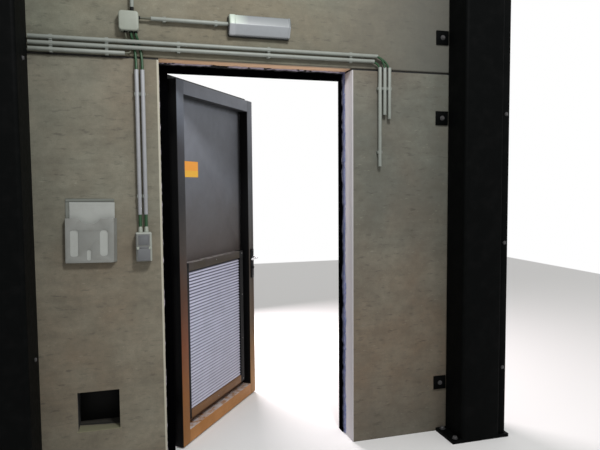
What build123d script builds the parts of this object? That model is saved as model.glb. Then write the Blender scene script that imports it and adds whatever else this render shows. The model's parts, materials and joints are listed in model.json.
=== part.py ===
from build123d import *
from math import cos, radians, sin, tan
import os

# Door wall bay of a substation building: concrete panels behind two steel corner columns,
# a louvred steel door that opens outwards, and the electrical fittings on the inner face.
# Millimetres. X runs along the wall, Y points outdoors, Z is up from the finished floor.
# The origin is the middle of the left column's base plate, on the floor.

# Wall bay
wall_height = 3000
panel_thickness = 150
left_bay = 609  # left column to doorway
doorway_width = 1052
right_bay = 598  # doorway to right column
lower_panel_height = 2137
joint_height = 10  # gap between lower and upper panels
joint_recess = 12  # the joint strip lies this far behind the faces
joint_chamfer = 5

# Corner columns, rolled hollow sections
left_column_width = 200
left_column_depth = 300
right_column_width = 250
right_column_depth = 200
column_wall = 10
column_corner = 20
base_plate_thickness = 20
base_plate_reach = 60  # plate beyond the column's sides
anchor_hole_radius = 9
anchor_edge = 30  # hole centre from the plate's edge
cap_plate_thickness = 10
corner_strip_width = 40
corner_strip_thickness = 8
corner_strip_setback = 12

# Lugs that hold the panels to the right column
lug_width = 78
lug_height = 80
lug_thickness = 10
lug_above_floor = 300
lug_below_joint = 254
lug_above_joint = 199
lug_below_top = 200

# Cable opening in the left lower panel, closed by a cover on the outside
cable_opening_left = 170
cable_opening_bottom = 250
cable_opening_size = 203
cover_overlap = 35
cover_thickness = 3

# Steel door frame on the outer face of the wall
frame_size = 60
frame_wall = 3
clear_width = 991
head_inset = 39  # doorway's head to the clear opening
frame_inset = 50.5  # doorway's left edge to the clear opening
seal_thickness = 9
seal_depth = 50
seal_gap = 0.3

# Door leaf: a steel tray, thickness measured to the inner faces of its stiles
leaf_thickness = 65
hinge_gap = 5
lock_gap = 8
floor_gap = 8
head_gap = 22
stile_width = 76
stile_wall = 2
skin_thickness = 2
skin_gap = 5  # skin to the frame's outer face when shut
side_lip = 12  # skin over the frame at the sides
head_lip = 5
open_angle = 53.7

# Louvre in the lower half of the leaf
louvre_bottom = 130
louvre_height = 920
louvre_hinge_gap = 5  # hinge stile to the louvre
louvre_lock_gap = 60
louvre_flange = 48
louvre_proud = 43  # flange face from the skin
louvre_sheet = 3
blade_pitch = 19
blade_depth = 26
blade_thickness = 1.5
blade_fall = 45
blade_set_back = 8
blade_end_gap = 0.3
blade_lip = 4  # lip turned down along the inner edge of a blade

# Hinges
lowest_hinge = 250
highest_hinge = 236  # below the leaf's top
knuckle_radius = 7
knuckle_height = 60
hinge_pin_radius = 4
hinge_pin_length = 48
hinge_clear = 1  # knuckle to the frame and to the skin's edge
pin_clearance = 0.1
knuckle_gap = 0.3
hinge_strap = 26
hinge_strap_thickness = 4

# Lock furniture
lock_backset = 35
handle_level = 990
cylinder_drop = 72
cylinder_radius = 8.5
cylinder_length = 8
plate_width = 38
plate_height = 205
plate_top = 60  # plate above the handle's axis
plate_thickness = 8
plate_corner = 5
neck_radius = 9
neck_length = 46
neck_gap = 0.3
lever_length = 118
lever_height = 17
lever_thickness = 11
spindle_size = 8
spindle_clearance = 0.5
forend_width = 22
forend_height = 235
forend_thickness = 3
strike_width = 24
strike_height = 60

# Conduits, clips and cables
conduit_radius = 10
conduit_bore = 8.5
conduit_pitch = 29
conduit_standoff = 24
clip_width = 16
clip_side = 2.5
clip_cover = 5  # clip jaws beyond the conduit's axis
clip_gap = 0.15
clip_seat_sides = 8
run_above_joint = 66  # axis of the uppermost horizontal conduit
run_start = 5
bottom_run_end = 446
run_end_step = 21  # the middle conduit ends this much before the top one
run_clips = (106, 361, 708, 1178, 1642)
drop_start = 1818  # first vertical conduit at the right
drop_past_run = 15
drop_below_run = 60
drop_lengths = (553, 263, 285)
upper_drop_clip = 117  # below the tops of the vertical conduits
lower_drop_clip = 473
switch_run_below = 136
switch_tail = 89  # switch box to its conduits
upper_switch_clip = 120
lower_switch_clip = 93

# Cables and their glands
cable_radius = 5
thin_cable_radius = 4
cable_in_wall_corner = 7  # cable axis from the wall, behind the conduits
cable_lead = 12  # straight length out of a gland
cable_insert = 12  # cable inside a conduit's end
bore_gap = 0.2
cable_sides = 8
run_cable_shifts = (9, 21, 23, 11)  # sideways from its gland, downwards along the cable
run_cable_rise = 5  # first bend above the upper conduit's axis
run_cable_drop = 28
switch_cable_drop = 63
switch_cable_rise = 33  # last bend above the switch conduits
corner_bend_start = 0.4  # shares of the way across, at the corner cables' two bends
corner_bend_end = 0.04
corner_sag = 2
gland_radius = 9
gland_length = 8
nut_sides = 6
gland_dome_radius = 8
gland_dome_sides = 12
gland_offsets = (30, 57, 80)  # from the box's left side
switch_gland_nut = 12
switch_gland_length = 28

# Junction box with its riser
box_left = 421
box_above_run = 50
box_size = 94
box_depth = 50
box_corner = 10
box_lid_depth = 14
box_lid_lip = 1
riser_offset = 64  # riser from the box's left side
riser_above_box = 23
riser_below_top = 15
lower_riser_clip = 180
upper_riser_clip = 125
lamp_run_in_box = 69  # lamp conduit above the box's underside
lamp_run_start = 575
lamp_clips = (640, 900)

# Lamp
lamp_left = 963
lamp_width = 332
lamp_height = 110
lamp_below_run = 6  # middle of the lamp below its conduit
lamp_base_depth = 18
lamp_base_corner = 8
lamp_depth = 64
lamp_top_depth = 50
lamp_foot_depth = 36
lamp_rim = 3
lamp_round = 9
lamp_end_chamfer = 3.5

# Switch and socket box
switch_left = 474
switch_bottom = 1116
switch_width = 79
switch_height = 148
switch_depth = 52
switch_corner = 7
rocker_margin = 13
rocker_height = 50
rocker_proud = 5
rocker_chamfer = 2
socket_lid_margin = 9
socket_lid_height = 66
socket_lid_proud = 7
socket_lid_chamfer = 3

# Document pocket
pocket_left = 141
pocket_bottom = 1116
pocket_width = 250
pocket_height = 223
pocket_depth = 32
pocket_wall = 2.5
pocket_taper_left = 6  # front narrower than the back
pocket_taper_right = 23
notch_middle = 114  # from the pocket's left side
notch_half = 50
notch_depth = 30
window_height = 132
window_foot = 34  # above the pocket's underside
windows = ((42, 37), (181, 38))  # middle from the pocket's left side, width
small_window_middle = 110
small_window_width = 19
small_window_height = 54
small_window_foot = 13
window_corner = 9
folder_left = 4.5  # from the pocket's left side
folder_width = 228
folder_height = 318
folder_thickness = 1
sheet_left = 20.5
sheet_width = 210
sheet_height = 297
sheet_stack = 5

column_face = left_column_width / 2
wall_face = left_column_depth / 2
outer_face = wall_face + panel_thickness
doorway_left = column_face + left_bay
doorway_right = doorway_left + doorway_width
right_column_face = doorway_right + right_bay
right_column_far = right_column_face + right_column_width
wall_left = -column_face
wall_right = right_column_far + corner_strip_width
upper_panel_bottom = lower_panel_height + joint_height
clear_left = doorway_left + frame_inset
clear_right = clear_left + clear_width
clear_height = upper_panel_bottom - head_inset
frame_face = outer_face + frame_size
run_level = upper_panel_bottom + run_above_joint
box_bottom = run_level + box_above_run
box_top = box_bottom + box_size
lamp_run_level = box_bottom + lamp_run_in_box

os.makedirs("parts", exist_ok=True)


def save(part, name):
    part.label = name
    export_step(part, "parts/" + name + ".step")


def facing_wall(depth=0):
    # plane on the inner wall face, seen from the room: x along the wall, y up
    return Plane(origin=(column_face, wall_face - depth, 0), x_dir=(1, 0, 0), z_dir=(0, -1, 0))


# Columns with their plates
def column(name, width, depth, middle_x, middle_y):
    with BuildPart() as shaft:
        with BuildSketch(Plane.XY.offset(base_plate_thickness)):
            with Locations((middle_x, middle_y)):
                RectangleRounded(width, depth, column_corner)
                RectangleRounded(width - 2 * column_wall, depth - 2 * column_wall,
                                 column_corner - column_wall, mode=Mode.SUBTRACT)
        extrude(amount=wall_height - base_plate_thickness - cap_plate_thickness)
    save(shaft.part, name + "_column")
    with BuildPart() as plate:
        with BuildSketch():
            with Locations((middle_x, middle_y)):
                Rectangle(width + 2 * base_plate_reach, depth)
                with GridLocations(width + 2 * base_plate_reach - 2 * anchor_edge,
                                   depth - 2 * anchor_edge, 2, 2):
                    Circle(anchor_hole_radius, mode=Mode.SUBTRACT)
        extrude(amount=base_plate_thickness)
    save(plate.part, name + "_base_plate")
    with BuildPart() as cap:
        with BuildSketch(Plane.XY.offset(wall_height - cap_plate_thickness)):
            with Locations((middle_x, middle_y)):
                Rectangle(width, depth)
        extrude(amount=cap_plate_thickness)
        chamfer(cap.edges().filter_by(Axis.Z), column_corner / 2)
    save(cap.part, name + "_column_cap")


right_column_x = right_column_face + right_column_width / 2
right_column_y = wall_face - right_column_depth / 2
column("left", left_column_width, left_column_depth, 0, 0)
column("right", right_column_width, right_column_depth, right_column_x, right_column_y)

with BuildPart() as corner_strip:
    strip_x = right_column_far + corner_strip_width / 2
    strip_y = wall_face - right_column_depth + corner_strip_setback
    with BuildSketch(Plane.XY.offset(base_plate_thickness)):
        with Locations((strip_x, strip_y + corner_strip_thickness / 2)):
            Rectangle(corner_strip_width, corner_strip_thickness)
        with Locations((wall_right - corner_strip_thickness / 2, (strip_y + wall_face) / 2)):
            Rectangle(corner_strip_thickness, wall_face - strip_y)
    extrude(amount=wall_height - base_plate_thickness)
save(corner_strip.part, "right_corner_strip")

with BuildPart() as lugs:
    for level in (lug_above_floor, lower_panel_height - lug_below_joint,
                  upper_panel_bottom + lug_above_joint, wall_height - lug_below_top):
        with BuildSketch(facing_wall()):
            with Locations((right_column_face - column_face - lug_width / 2, level)):
                Rectangle(lug_width, lug_height)
        extrude(amount=lug_thickness)
save(lugs.part, "panel_lugs")

# Concrete panels; the lower pair stops at the doorway, the upper one spans over it
with BuildPart() as left_panel:
    with BuildSketch(facing_wall(-panel_thickness)):
        with Locations(((wall_left - column_face + left_bay) / 2, lower_panel_height / 2)):
            Rectangle(left_bay + left_column_width, lower_panel_height)
        with Locations((cable_opening_left + cable_opening_size / 2,
                        cable_opening_bottom + cable_opening_size / 2)):
            Rectangle(cable_opening_size, cable_opening_size, mode=Mode.SUBTRACT)
    extrude(amount=panel_thickness)
    chamfer(left_panel.edges().filter_by(Axis.X).group_by(Axis.Z)[-1], joint_chamfer)
save(left_panel.part, "left_lower_panel")

with BuildPart() as right_panel:
    with BuildSketch():
        with Locations(((doorway_right + wall_right) / 2, wall_face + panel_thickness / 2)):
            Rectangle(wall_right - doorway_right, panel_thickness)
    extrude(amount=lower_panel_height)
    chamfer(right_panel.edges().filter_by(Axis.X).group_by(Axis.Z)[-1], joint_chamfer)
save(right_panel.part, "right_lower_panel")

with BuildPart() as upper_panel:
    with BuildSketch(Plane.XY.offset(upper_panel_bottom)):
        with Locations(((wall_left + wall_right) / 2, wall_face + panel_thickness / 2)):
            Rectangle(wall_right - wall_left, panel_thickness)
    extrude(amount=wall_height - upper_panel_bottom)
    chamfer(upper_panel.edges().filter_by(Axis.X).group_by(Axis.Z)[0], joint_chamfer)
save(upper_panel.part, "upper_panel")

with BuildPart() as joint_strips:
    with BuildSketch(Plane.XY.offset(lower_panel_height)):
        for low, high in ((wall_left, doorway_left), (doorway_right, wall_right)):
            with Locations(((low + high) / 2, wall_face + panel_thickness / 2)):
                Rectangle(high - low, panel_thickness - 2 * joint_recess)
    extrude(amount=joint_height)
save(joint_strips.part, "panel_joint_strips")

with BuildPart() as cover:
    cover_side = cable_opening_size + 2 * cover_overlap
    with BuildSketch(facing_wall(-panel_thickness)):
        with Locations((cable_opening_left + cable_opening_size / 2,
                        cable_opening_bottom + cable_opening_size / 2)):
            Rectangle(cover_side, cover_side)
    extrude(amount=-cover_thickness)
save(cover.part, "cable_opening_cover")


# Door frame of square tube, set against the outer face of the wall
def frame_post(inner_edge, outward):
    middle = inner_edge + outward * frame_size / 2
    with BuildSketch() as section:
        with Locations((middle, outer_face + frame_size / 2)):
            Rectangle(frame_size, frame_size)
            chamfer(section.vertices(), frame_wall / 2)
            Rectangle(frame_size - 2 * frame_wall, frame_size - 2 * frame_wall,
                      mode=Mode.SUBTRACT)
    extrude(section.sketch, amount=clear_height + frame_size)
    with BuildSketch(Plane.XY.offset(clear_height + frame_size - frame_wall)) as end_cap:
        with Locations((middle, outer_face + frame_size / 2)):
            Rectangle(frame_size - 2 * frame_wall, frame_size - 2 * frame_wall)
    extrude(end_cap.sketch, amount=frame_wall)


with BuildPart() as left_jamb:
    frame_post(clear_left, -1)
save(left_jamb.part, "frame_left_jamb")

with BuildPart() as right_jamb:
    frame_post(clear_right, 1)
    with BuildSketch(Plane(origin=(clear_right, outer_face + frame_size / 2, 0),
                           x_dir=(0, 1, 0), z_dir=(1, 0, 0))):
        with Locations((0, handle_level), (0, handle_level - cylinder_drop)):
            Rectangle(strike_width, strike_height)
    extrude(amount=frame_wall, mode=Mode.SUBTRACT)
save(right_jamb.part, "frame_right_jamb")

with BuildPart() as head:
    with BuildSketch(Plane(origin=(clear_left, outer_face + frame_size / 2,
                                   clear_height + frame_size / 2),
                           x_dir=(0, 1, 0), z_dir=(1, 0, 0))) as section:
        Rectangle(frame_size, frame_size)
        chamfer(section.vertices(), frame_wall / 2)
        Rectangle(frame_size - 2 * frame_wall, frame_size - 2 * frame_wall, mode=Mode.SUBTRACT)
    extrude(amount=clear_width)
save(head.part, "frame_head")

# Bead of sealing foam in the corner between the doorway's sides and the frame
with BuildPart() as seal:
    with BuildSketch(facing_wall(-panel_thickness + seal_gap)):
        with BuildLine():
            low_x = doorway_left - column_face
            high_x = doorway_right - column_face
            Polyline((low_x, 0), (low_x, upper_panel_bottom), (high_x, upper_panel_bottom),
                     (high_x, 0), (high_x - seal_thickness, 0),
                     (high_x - seal_thickness, upper_panel_bottom - seal_thickness),
                     (low_x + seal_thickness, upper_panel_bottom - seal_thickness),
                     (low_x + seal_thickness, 0), close=True)
        make_face()
    extrude(amount=seal_depth)
save(seal.part, "frame_seal")

# Door leaf, drawn on a plane through the hinge axis that is turned by the open angle
hinge_x = clear_left - side_lip - knuckle_radius - hinge_clear
hinge_y = frame_face + knuckle_radius + hinge_clear
skin_back = frame_face + skin_gap - hinge_y  # from the hinge axis, outwards
skin_front = skin_back + skin_thickness
leaf_start = clear_left + hinge_gap - hinge_x
leaf_width = clear_width - hinge_gap - lock_gap
leaf_end = leaf_start + leaf_width
leaf_height = clear_height - head_gap - floor_gap
leaf_top = floor_gap + leaf_height
stile_depth = leaf_thickness - skin_thickness
inner_depth = stile_depth - skin_back  # inner face, measured inwards from the hinge axis


def leaf_plane(inwards=0):
    # x along the leaf from the hinge axis, y up, z towards the room
    turn = radians(open_angle)
    normal = (sin(turn), -cos(turn), 0)
    return Plane(origin=(hinge_x + normal[0] * inwards, hinge_y + normal[1] * inwards, 0),
                 x_dir=(cos(turn), sin(turn), 0), z_dir=normal)


def leaf_section(x, level):
    # plane across a vertical member of the leaf: x along the leaf, y towards outdoors
    turn = radians(open_angle)
    along = (cos(turn), sin(turn), 0)
    return Plane(origin=(hinge_x + along[0] * x, hinge_y + along[1] * x, level),
                 x_dir=along, z_dir=(0, 0, 1))


louvre_left = leaf_start + stile_width + louvre_hinge_gap
louvre_width = leaf_width - 2 * stile_width - louvre_hinge_gap - louvre_lock_gap
vent_left = louvre_left + louvre_flange
vent_width = louvre_width - 2 * louvre_flange
vent_bottom = louvre_bottom + louvre_flange
vent_height = louvre_height - 2 * louvre_flange
lock_x = leaf_end - lock_backset

with BuildPart() as skin:
    with BuildSketch(leaf_plane(-skin_front)):
        low_x = leaf_start - hinge_gap - side_lip
        high_x = leaf_end + lock_gap + side_lip
        top = clear_height + head_lip
        with Locations(((low_x + high_x) / 2, (floor_gap + top) / 2)):
            Rectangle(high_x - low_x, top - floor_gap)
        with Locations((vent_left + vent_width / 2, vent_bottom + vent_height / 2)):
            Rectangle(vent_width, vent_height, mode=Mode.SUBTRACT)
        with Locations((lock_x, handle_level)):
            Circle(neck_radius + spindle_clearance, mode=Mode.SUBTRACT)
    extrude(amount=skin_thickness)
save(skin.part, "leaf_skin")


def leaf_stile(left_edge):
    with BuildSketch(leaf_section(left_edge + stile_width / 2, floor_gap)) as section:
        with Locations((0, skin_back - stile_depth / 2)):
            Rectangle(stile_width, stile_depth)
            chamfer(section.vertices(), stile_wall)
            Rectangle(stile_width - 2 * stile_wall, stile_depth - 2 * stile_wall,
                      mode=Mode.SUBTRACT)
    extrude(section.sketch, amount=leaf_height)


with BuildPart() as hinge_stile:
    leaf_stile(leaf_start)
save(hinge_stile.part, "leaf_hinge_stile")

with BuildPart() as lock_stile:
    leaf_stile(leaf_end - stile_width)
    with BuildSketch(leaf_plane(-skin_front)):
        with Locations((lock_x, handle_level)):
            Circle(neck_radius + spindle_clearance)
    extrude(amount=leaf_thickness, mode=Mode.SUBTRACT)
save(lock_stile.part, "leaf_lock_stile")


def leaf_rail(bottom):
    start = leaf_section(leaf_start + stile_width, bottom + stile_width / 2)
    side = Plane(origin=start.origin, x_dir=start.y_dir, z_dir=start.x_dir)
    with BuildSketch(side) as section:
        with Locations((skin_back - stile_depth / 2, 0)):
            Rectangle(stile_depth, stile_width)
            chamfer(section.vertices(), stile_wall)
            Rectangle(stile_depth - 2 * stile_wall, stile_width - 2 * stile_wall,
                      mode=Mode.SUBTRACT)
    extrude(section.sketch, amount=leaf_width - 2 * stile_width)


with BuildPart() as top_rail:
    leaf_rail(leaf_top - stile_width)
save(top_rail.part, "leaf_top_rail")

with BuildPart() as bottom_rail:
    leaf_rail(floor_gap)
save(bottom_rail.part, "leaf_bottom_rail")

# Louvre frame: a flange on side walls that stand on the skin, with a collar round the vent
flange_face = louvre_proud - skin_back


def louvre_ring(outer_width, outer_height, wall, start, length):
    with BuildSketch(leaf_plane(start)) as ring:
        with Locations((louvre_left + louvre_width / 2, louvre_bottom + louvre_height / 2)):
            Rectangle(outer_width, outer_height)
            Rectangle(outer_width - 2 * wall, outer_height - 2 * wall, mode=Mode.SUBTRACT)
    extrude(ring.sketch, amount=length)


with BuildPart() as louvre_frame:
    louvre_ring(louvre_width, louvre_height, louvre_sheet, -skin_back, louvre_proud)
    louvre_ring(louvre_width, louvre_height, louvre_flange, flange_face - louvre_sheet,
                louvre_sheet)
    louvre_ring(vent_width + 2 * louvre_sheet, vent_height + 2 * louvre_sheet, louvre_sheet,
                -skin_back, louvre_proud)
save(louvre_frame.part, "louvre_frame")

# Blades: slats folded to a ridge, the inner half with a lip, so that rain stays out
blade_middle = flange_face - blade_set_back - blade_depth / 2
blade_run = blade_depth / 2
blade_drop = blade_run * sin(radians(blade_fall)) / cos(radians(blade_fall))
blade_skin = blade_thickness / cos(radians(blade_fall))
blade_height = blade_drop + blade_skin + blade_lip
blade_count = int((vent_height - blade_height) // blade_pitch) + 1
blade_spare = vent_height - blade_height - (blade_count - 1) * blade_pitch
first_ridge = vent_bottom + blade_lip + blade_drop + blade_spare / 2

with BuildPart() as blades:
    side = leaf_section(vent_left + blade_end_gap, 0)
    blade_side = Plane(origin=side.origin, x_dir=-side.y_dir, z_dir=-side.x_dir)
    inner = blade_middle + blade_run
    for step in range(blade_count):
        ridge = first_ridge + step * blade_pitch
        eaves = ridge - blade_drop
        with BuildSketch(blade_side):
            with BuildLine():
                Polyline((blade_middle - blade_run, eaves),
                         (blade_middle, ridge),
                         (inner - blade_thickness, eaves + blade_thickness),
                         (inner - blade_thickness, eaves - blade_lip),
                         (inner, eaves - blade_lip),
                         (inner, eaves + blade_skin),
                         (blade_middle, ridge + blade_skin),
                         (blade_middle - blade_run, eaves + blade_skin), close=True)
            make_face()
        extrude(amount=-(vent_width - 2 * blade_end_gap))
save(blades.part, "louvre_blades")


# Hinges: the lower knuckle with its pin is on the frame, the upper one on the leaf
def knuckle_plane(level):
    return Plane(origin=(hinge_x, hinge_y, level), x_dir=(1, 0, 0), z_dir=(0, 0, 1))


hinge_spacing = (leaf_top - highest_hinge - lowest_hinge) / 2
hinge_levels = [lowest_hinge + step * hinge_spacing for step in range(3)]

with BuildPart() as frame_hinges:
    for level in hinge_levels:
        with BuildSketch(knuckle_plane(level - knuckle_height)):
            Circle(knuckle_radius)
            with Locations((-hinge_strap / 2, frame_face - hinge_y + hinge_strap_thickness / 2)):
                Rectangle(hinge_strap, hinge_strap_thickness)
        extrude(amount=knuckle_height)
        with BuildSketch(knuckle_plane(level)):
            Circle(hinge_pin_radius)
        extrude(amount=hinge_pin_length)
save(frame_hinges.part, "frame_hinge_halves")

with BuildPart() as leaf_hinges:
    for level in hinge_levels:
        with BuildSketch(leaf_section(0, level + knuckle_gap)):
            Circle(knuckle_radius)
            with Locations((hinge_strap / 2, skin_front + hinge_strap_thickness / 2)):
                Rectangle(hinge_strap, hinge_strap_thickness)
            Circle(hinge_pin_radius + pin_clearance, mode=Mode.SUBTRACT)
        extrude(amount=knuckle_height)
save(leaf_hinges.part, "leaf_hinge_halves")


# Lock furniture: long plates on both faces, one lever set on a common spindle
def furniture_plate(inwards, amount):
    with BuildSketch(leaf_plane(inwards)) as plate:
        with Locations((lock_x, handle_level + plate_top - plate_height / 2)):
            Rectangle(plate_width, plate_height)
            chamfer(plate.vertices(), plate_corner)
        with Locations((lock_x, handle_level)):
            Circle(neck_radius + spindle_clearance, mode=Mode.SUBTRACT)
    extrude(plate.sketch, amount=amount)
    with BuildSketch(leaf_plane(inwards)) as cylinder:
        with Locations((lock_x, handle_level - cylinder_drop)):
            Circle(cylinder_radius)
    extrude(cylinder.sketch, amount=amount + (cylinder_length if amount > 0 else -cylinder_length))


with BuildPart() as inner_plate:
    furniture_plate(inner_depth, plate_thickness)
save(inner_plate.part, "inner_handle_plate")

with BuildPart() as outer_plate:
    furniture_plate(-skin_front, -plate_thickness)
save(outer_plate.part, "outer_handle_plate")

with BuildPart() as forend:
    end = leaf_section(leaf_end, 0)
    with BuildSketch(Plane(origin=end.origin, x_dir=end.y_dir, z_dir=end.x_dir)):
        with Locations((skin_back - stile_depth / 2, handle_level - cylinder_drop / 2)):
            Rectangle(forend_width, forend_height)
    extrude(amount=forend_thickness)
save(forend.part, "lock_forend")


def lever(inwards, side):
    # round neck and a flat grip that points back to the hinges
    with BuildSketch(leaf_plane(inwards + side * neck_gap)) as neck:
        with Locations((lock_x, handle_level)):
            Circle(neck_radius)
    extrude(neck.sketch, amount=side * (neck_length - neck_gap))
    with BuildSketch(leaf_plane(inwards + side * (neck_length - lever_thickness))) as grip:
        with Locations((lock_x - lever_length / 2 + neck_radius, handle_level)):
            SlotOverall(lever_length, lever_height)
    extrude(grip.sketch, amount=side * lever_thickness)


with BuildPart() as inner_lever:
    lever(inner_depth + plate_thickness, 1)
save(inner_lever.part, "inner_lever")

with BuildPart() as outer_lever:
    lever(-skin_front - plate_thickness, -1)
save(outer_lever.part, "outer_lever")

with BuildPart() as spindle:
    with BuildSketch(leaf_plane(-skin_front - plate_thickness)):
        with Locations((lock_x, handle_level)):
            Rectangle(spindle_size, spindle_size)
    extrude(amount=leaf_thickness + 2 * plate_thickness)
save(spindle.part, "lever_spindle")


# Conduits, lying on clips
def conduit(start, along, length):
    with BuildSketch(Plane(origin=start, z_dir=along)) as tube:
        Circle(conduit_radius)
        Circle(conduit_bore, mode=Mode.SUBTRACT)
    extrude(tube.sketch, amount=length)


def conduit_clip(centre, along, across):
    # a saddle on the wall that opens towards the room
    plane = Plane(origin=centre, x_dir=across, z_dir=along)
    roomward = 1 if plane.y_dir.Y < 0 else -1
    with BuildSketch(plane) as saddle:
        with Locations((0, roomward * (clip_cover - conduit_standoff) / 2)):
            Rectangle(2 * (conduit_radius + clip_side), conduit_standoff + clip_cover)
        RegularPolygon(conduit_radius + clip_gap, clip_seat_sides, major_radius=False,
                       mode=Mode.SUBTRACT)
    extrude(saddle.sketch, amount=clip_width / 2, both=True)


conduit_y = wall_face - conduit_standoff
drop_top = run_level - drop_below_run
top_run_end = drop_start - drop_past_run
run_ends = (top_run_end, top_run_end - run_end_step, bottom_run_end)
for row, (name, end) in enumerate(zip(("top", "middle", "bottom"), run_ends)):
    with BuildPart() as run:
        level = run_level - row * conduit_pitch
        conduit((column_face + run_start, conduit_y, level), (1, 0, 0), end - run_start)
    save(run.part, "conduit_" + name)

drop_columns = [column_face + drop_start + step * conduit_pitch for step in range(3)]
with BuildPart() as drops:
    for x, length in zip(drop_columns, drop_lengths):
        conduit((x, conduit_y, drop_top), (0, 0, -1), length)
save(drops.part, "right_conduits")

switch_middle = column_face + switch_left + switch_width / 2
switch_columns = (switch_middle - conduit_pitch / 2, switch_middle + conduit_pitch / 2)
switch_top = switch_bottom + switch_height
switch_run_top = run_level - switch_run_below
switch_run_bottom = switch_top + switch_tail
with BuildPart() as switch_runs:
    for x in switch_columns:
        conduit((x, conduit_y, switch_run_top), (0, 0, -1), switch_run_top - switch_run_bottom)
save(switch_runs.part, "switch_conduits")

riser_x = column_face + box_left + riser_offset
riser_start = box_top + riser_above_box
riser_top = wall_height - riser_below_top
with BuildPart() as riser:
    conduit((riser_x, conduit_y, riser_start), (0, 0, 1), riser_top - riser_start)
save(riser.part, "riser_conduit")

with BuildPart() as lamp_run:
    conduit((column_face + lamp_run_start, conduit_y, lamp_run_level), (1, 0, 0),
            lamp_left - lamp_run_start)
save(lamp_run.part, "lamp_conduit")

with BuildPart() as run_clip_row:
    for x in run_clips:
        for row, end in enumerate(run_ends):
            if x < end:
                conduit_clip((column_face + x, conduit_y, run_level - row * conduit_pitch),
                             (1, 0, 0), (0, 0, 1))
save(run_clip_row.part, "horizontal_clips")

with BuildPart() as other_clips:
    for below_top in (upper_drop_clip, lower_drop_clip):
        for x, length in zip(drop_columns, drop_lengths):
            if below_top < length:
                conduit_clip((x, conduit_y, drop_top - below_top), (0, 0, 1), (1, 0, 0))
    for level in (switch_run_top - upper_switch_clip, switch_run_bottom + lower_switch_clip):
        for x in switch_columns:
            conduit_clip((x, conduit_y, level), (0, 0, 1), (1, 0, 0))
    for level in (riser_start + lower_riser_clip, riser_top - upper_riser_clip):
        conduit_clip((riser_x, conduit_y, level), (0, 0, 1), (1, 0, 0))
    for x in lamp_clips:
        conduit_clip((column_face + x, conduit_y, lamp_run_level), (1, 0, 0), (0, 0, 1))
save(other_clips.part, "vertical_clips")

# Junction box
box_middle = (box_left + box_size / 2, box_bottom + box_size / 2)
with BuildPart() as junction_box:
    with BuildSketch(facing_wall()):
        with Locations(box_middle):
            RectangleRounded(box_size, box_size, box_corner)
    extrude(amount=box_depth - box_lid_depth)
save(junction_box.part, "junction_box")

with BuildPart() as box_lid:
    with BuildSketch(facing_wall(box_depth - box_lid_depth)):
        with Locations(box_middle):
            RectangleRounded(box_size + 2 * box_lid_lip, box_size + 2 * box_lid_lip,
                             box_corner + box_lid_lip)
    extrude(amount=box_lid_depth)
save(box_lid.part, "junction_box_lid")

# Glands: three under the box, one at its right, a grommet on top for the riser
gland_columns = [column_face + box_left + offset for offset in gland_offsets]
with BuildPart() as box_glands:
    for x in gland_columns:
        with BuildSketch(Plane(origin=(x, conduit_y, box_bottom), z_dir=(0, 0, -1))):
            RegularPolygon(gland_radius, nut_sides)
        extrude(amount=gland_length)
    with BuildSketch(Plane(origin=(column_face + box_left + box_size, conduit_y, lamp_run_level),
                           z_dir=(1, 0, 0))):
        RegularPolygon(gland_radius, nut_sides)
    extrude(amount=gland_length)
    with BuildSketch(Plane(origin=(riser_x, conduit_y, box_top), z_dir=(0, 0, 1))):
        Circle(gland_radius)
    extrude(amount=riser_above_box)
save(box_glands.part, "box_glands")

with BuildPart() as switch_glands:
    for x in switch_columns:
        with BuildSketch(Plane(origin=(x, conduit_y, switch_top), z_dir=(0, 0, 1))):
            RegularPolygon(gland_radius, nut_sides)
        extrude(amount=switch_gland_nut)
        with BuildSketch(Plane(origin=(x, conduit_y, switch_top + switch_gland_nut),
                               z_dir=(0, 0, 1))):
            RegularPolygon(gland_dome_radius, gland_dome_sides)
        extrude(amount=switch_gland_length - switch_gland_nut)
save(switch_glands.part, "switch_glands")


# Cables: each runs from a gland or a conduit's end into the next conduit
def cable(route, radius):
    points = [Vector(*point) for point in route]
    legs = [after - before for before, after in zip(points, points[1:])]
    bends = []
    for leg, following in zip(legs, legs[1:]):
        half_turn = radians(leg.get_angle(following)) / 2
        bends.append(0.45 * min(leg.length, following.length) / tan(half_turn))
    if bends:
        with BuildLine() as path:
            FilletPolyline(*points, radius=bends)
    else:
        with BuildLine() as path:
            Line(*points)
    with BuildSketch(Plane(origin=points[0], z_dir=legs[0])) as section:
        RegularPolygon(radius, cable_sides)
    sweep(section.sketch, path=path.line)


gland_face = box_bottom - gland_length
behind_y = wall_face - cable_in_wall_corner
low_run = run_level - 2 * conduit_pitch

thin_lean = conduit_bore - thin_cable_radius - bore_gap

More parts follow.
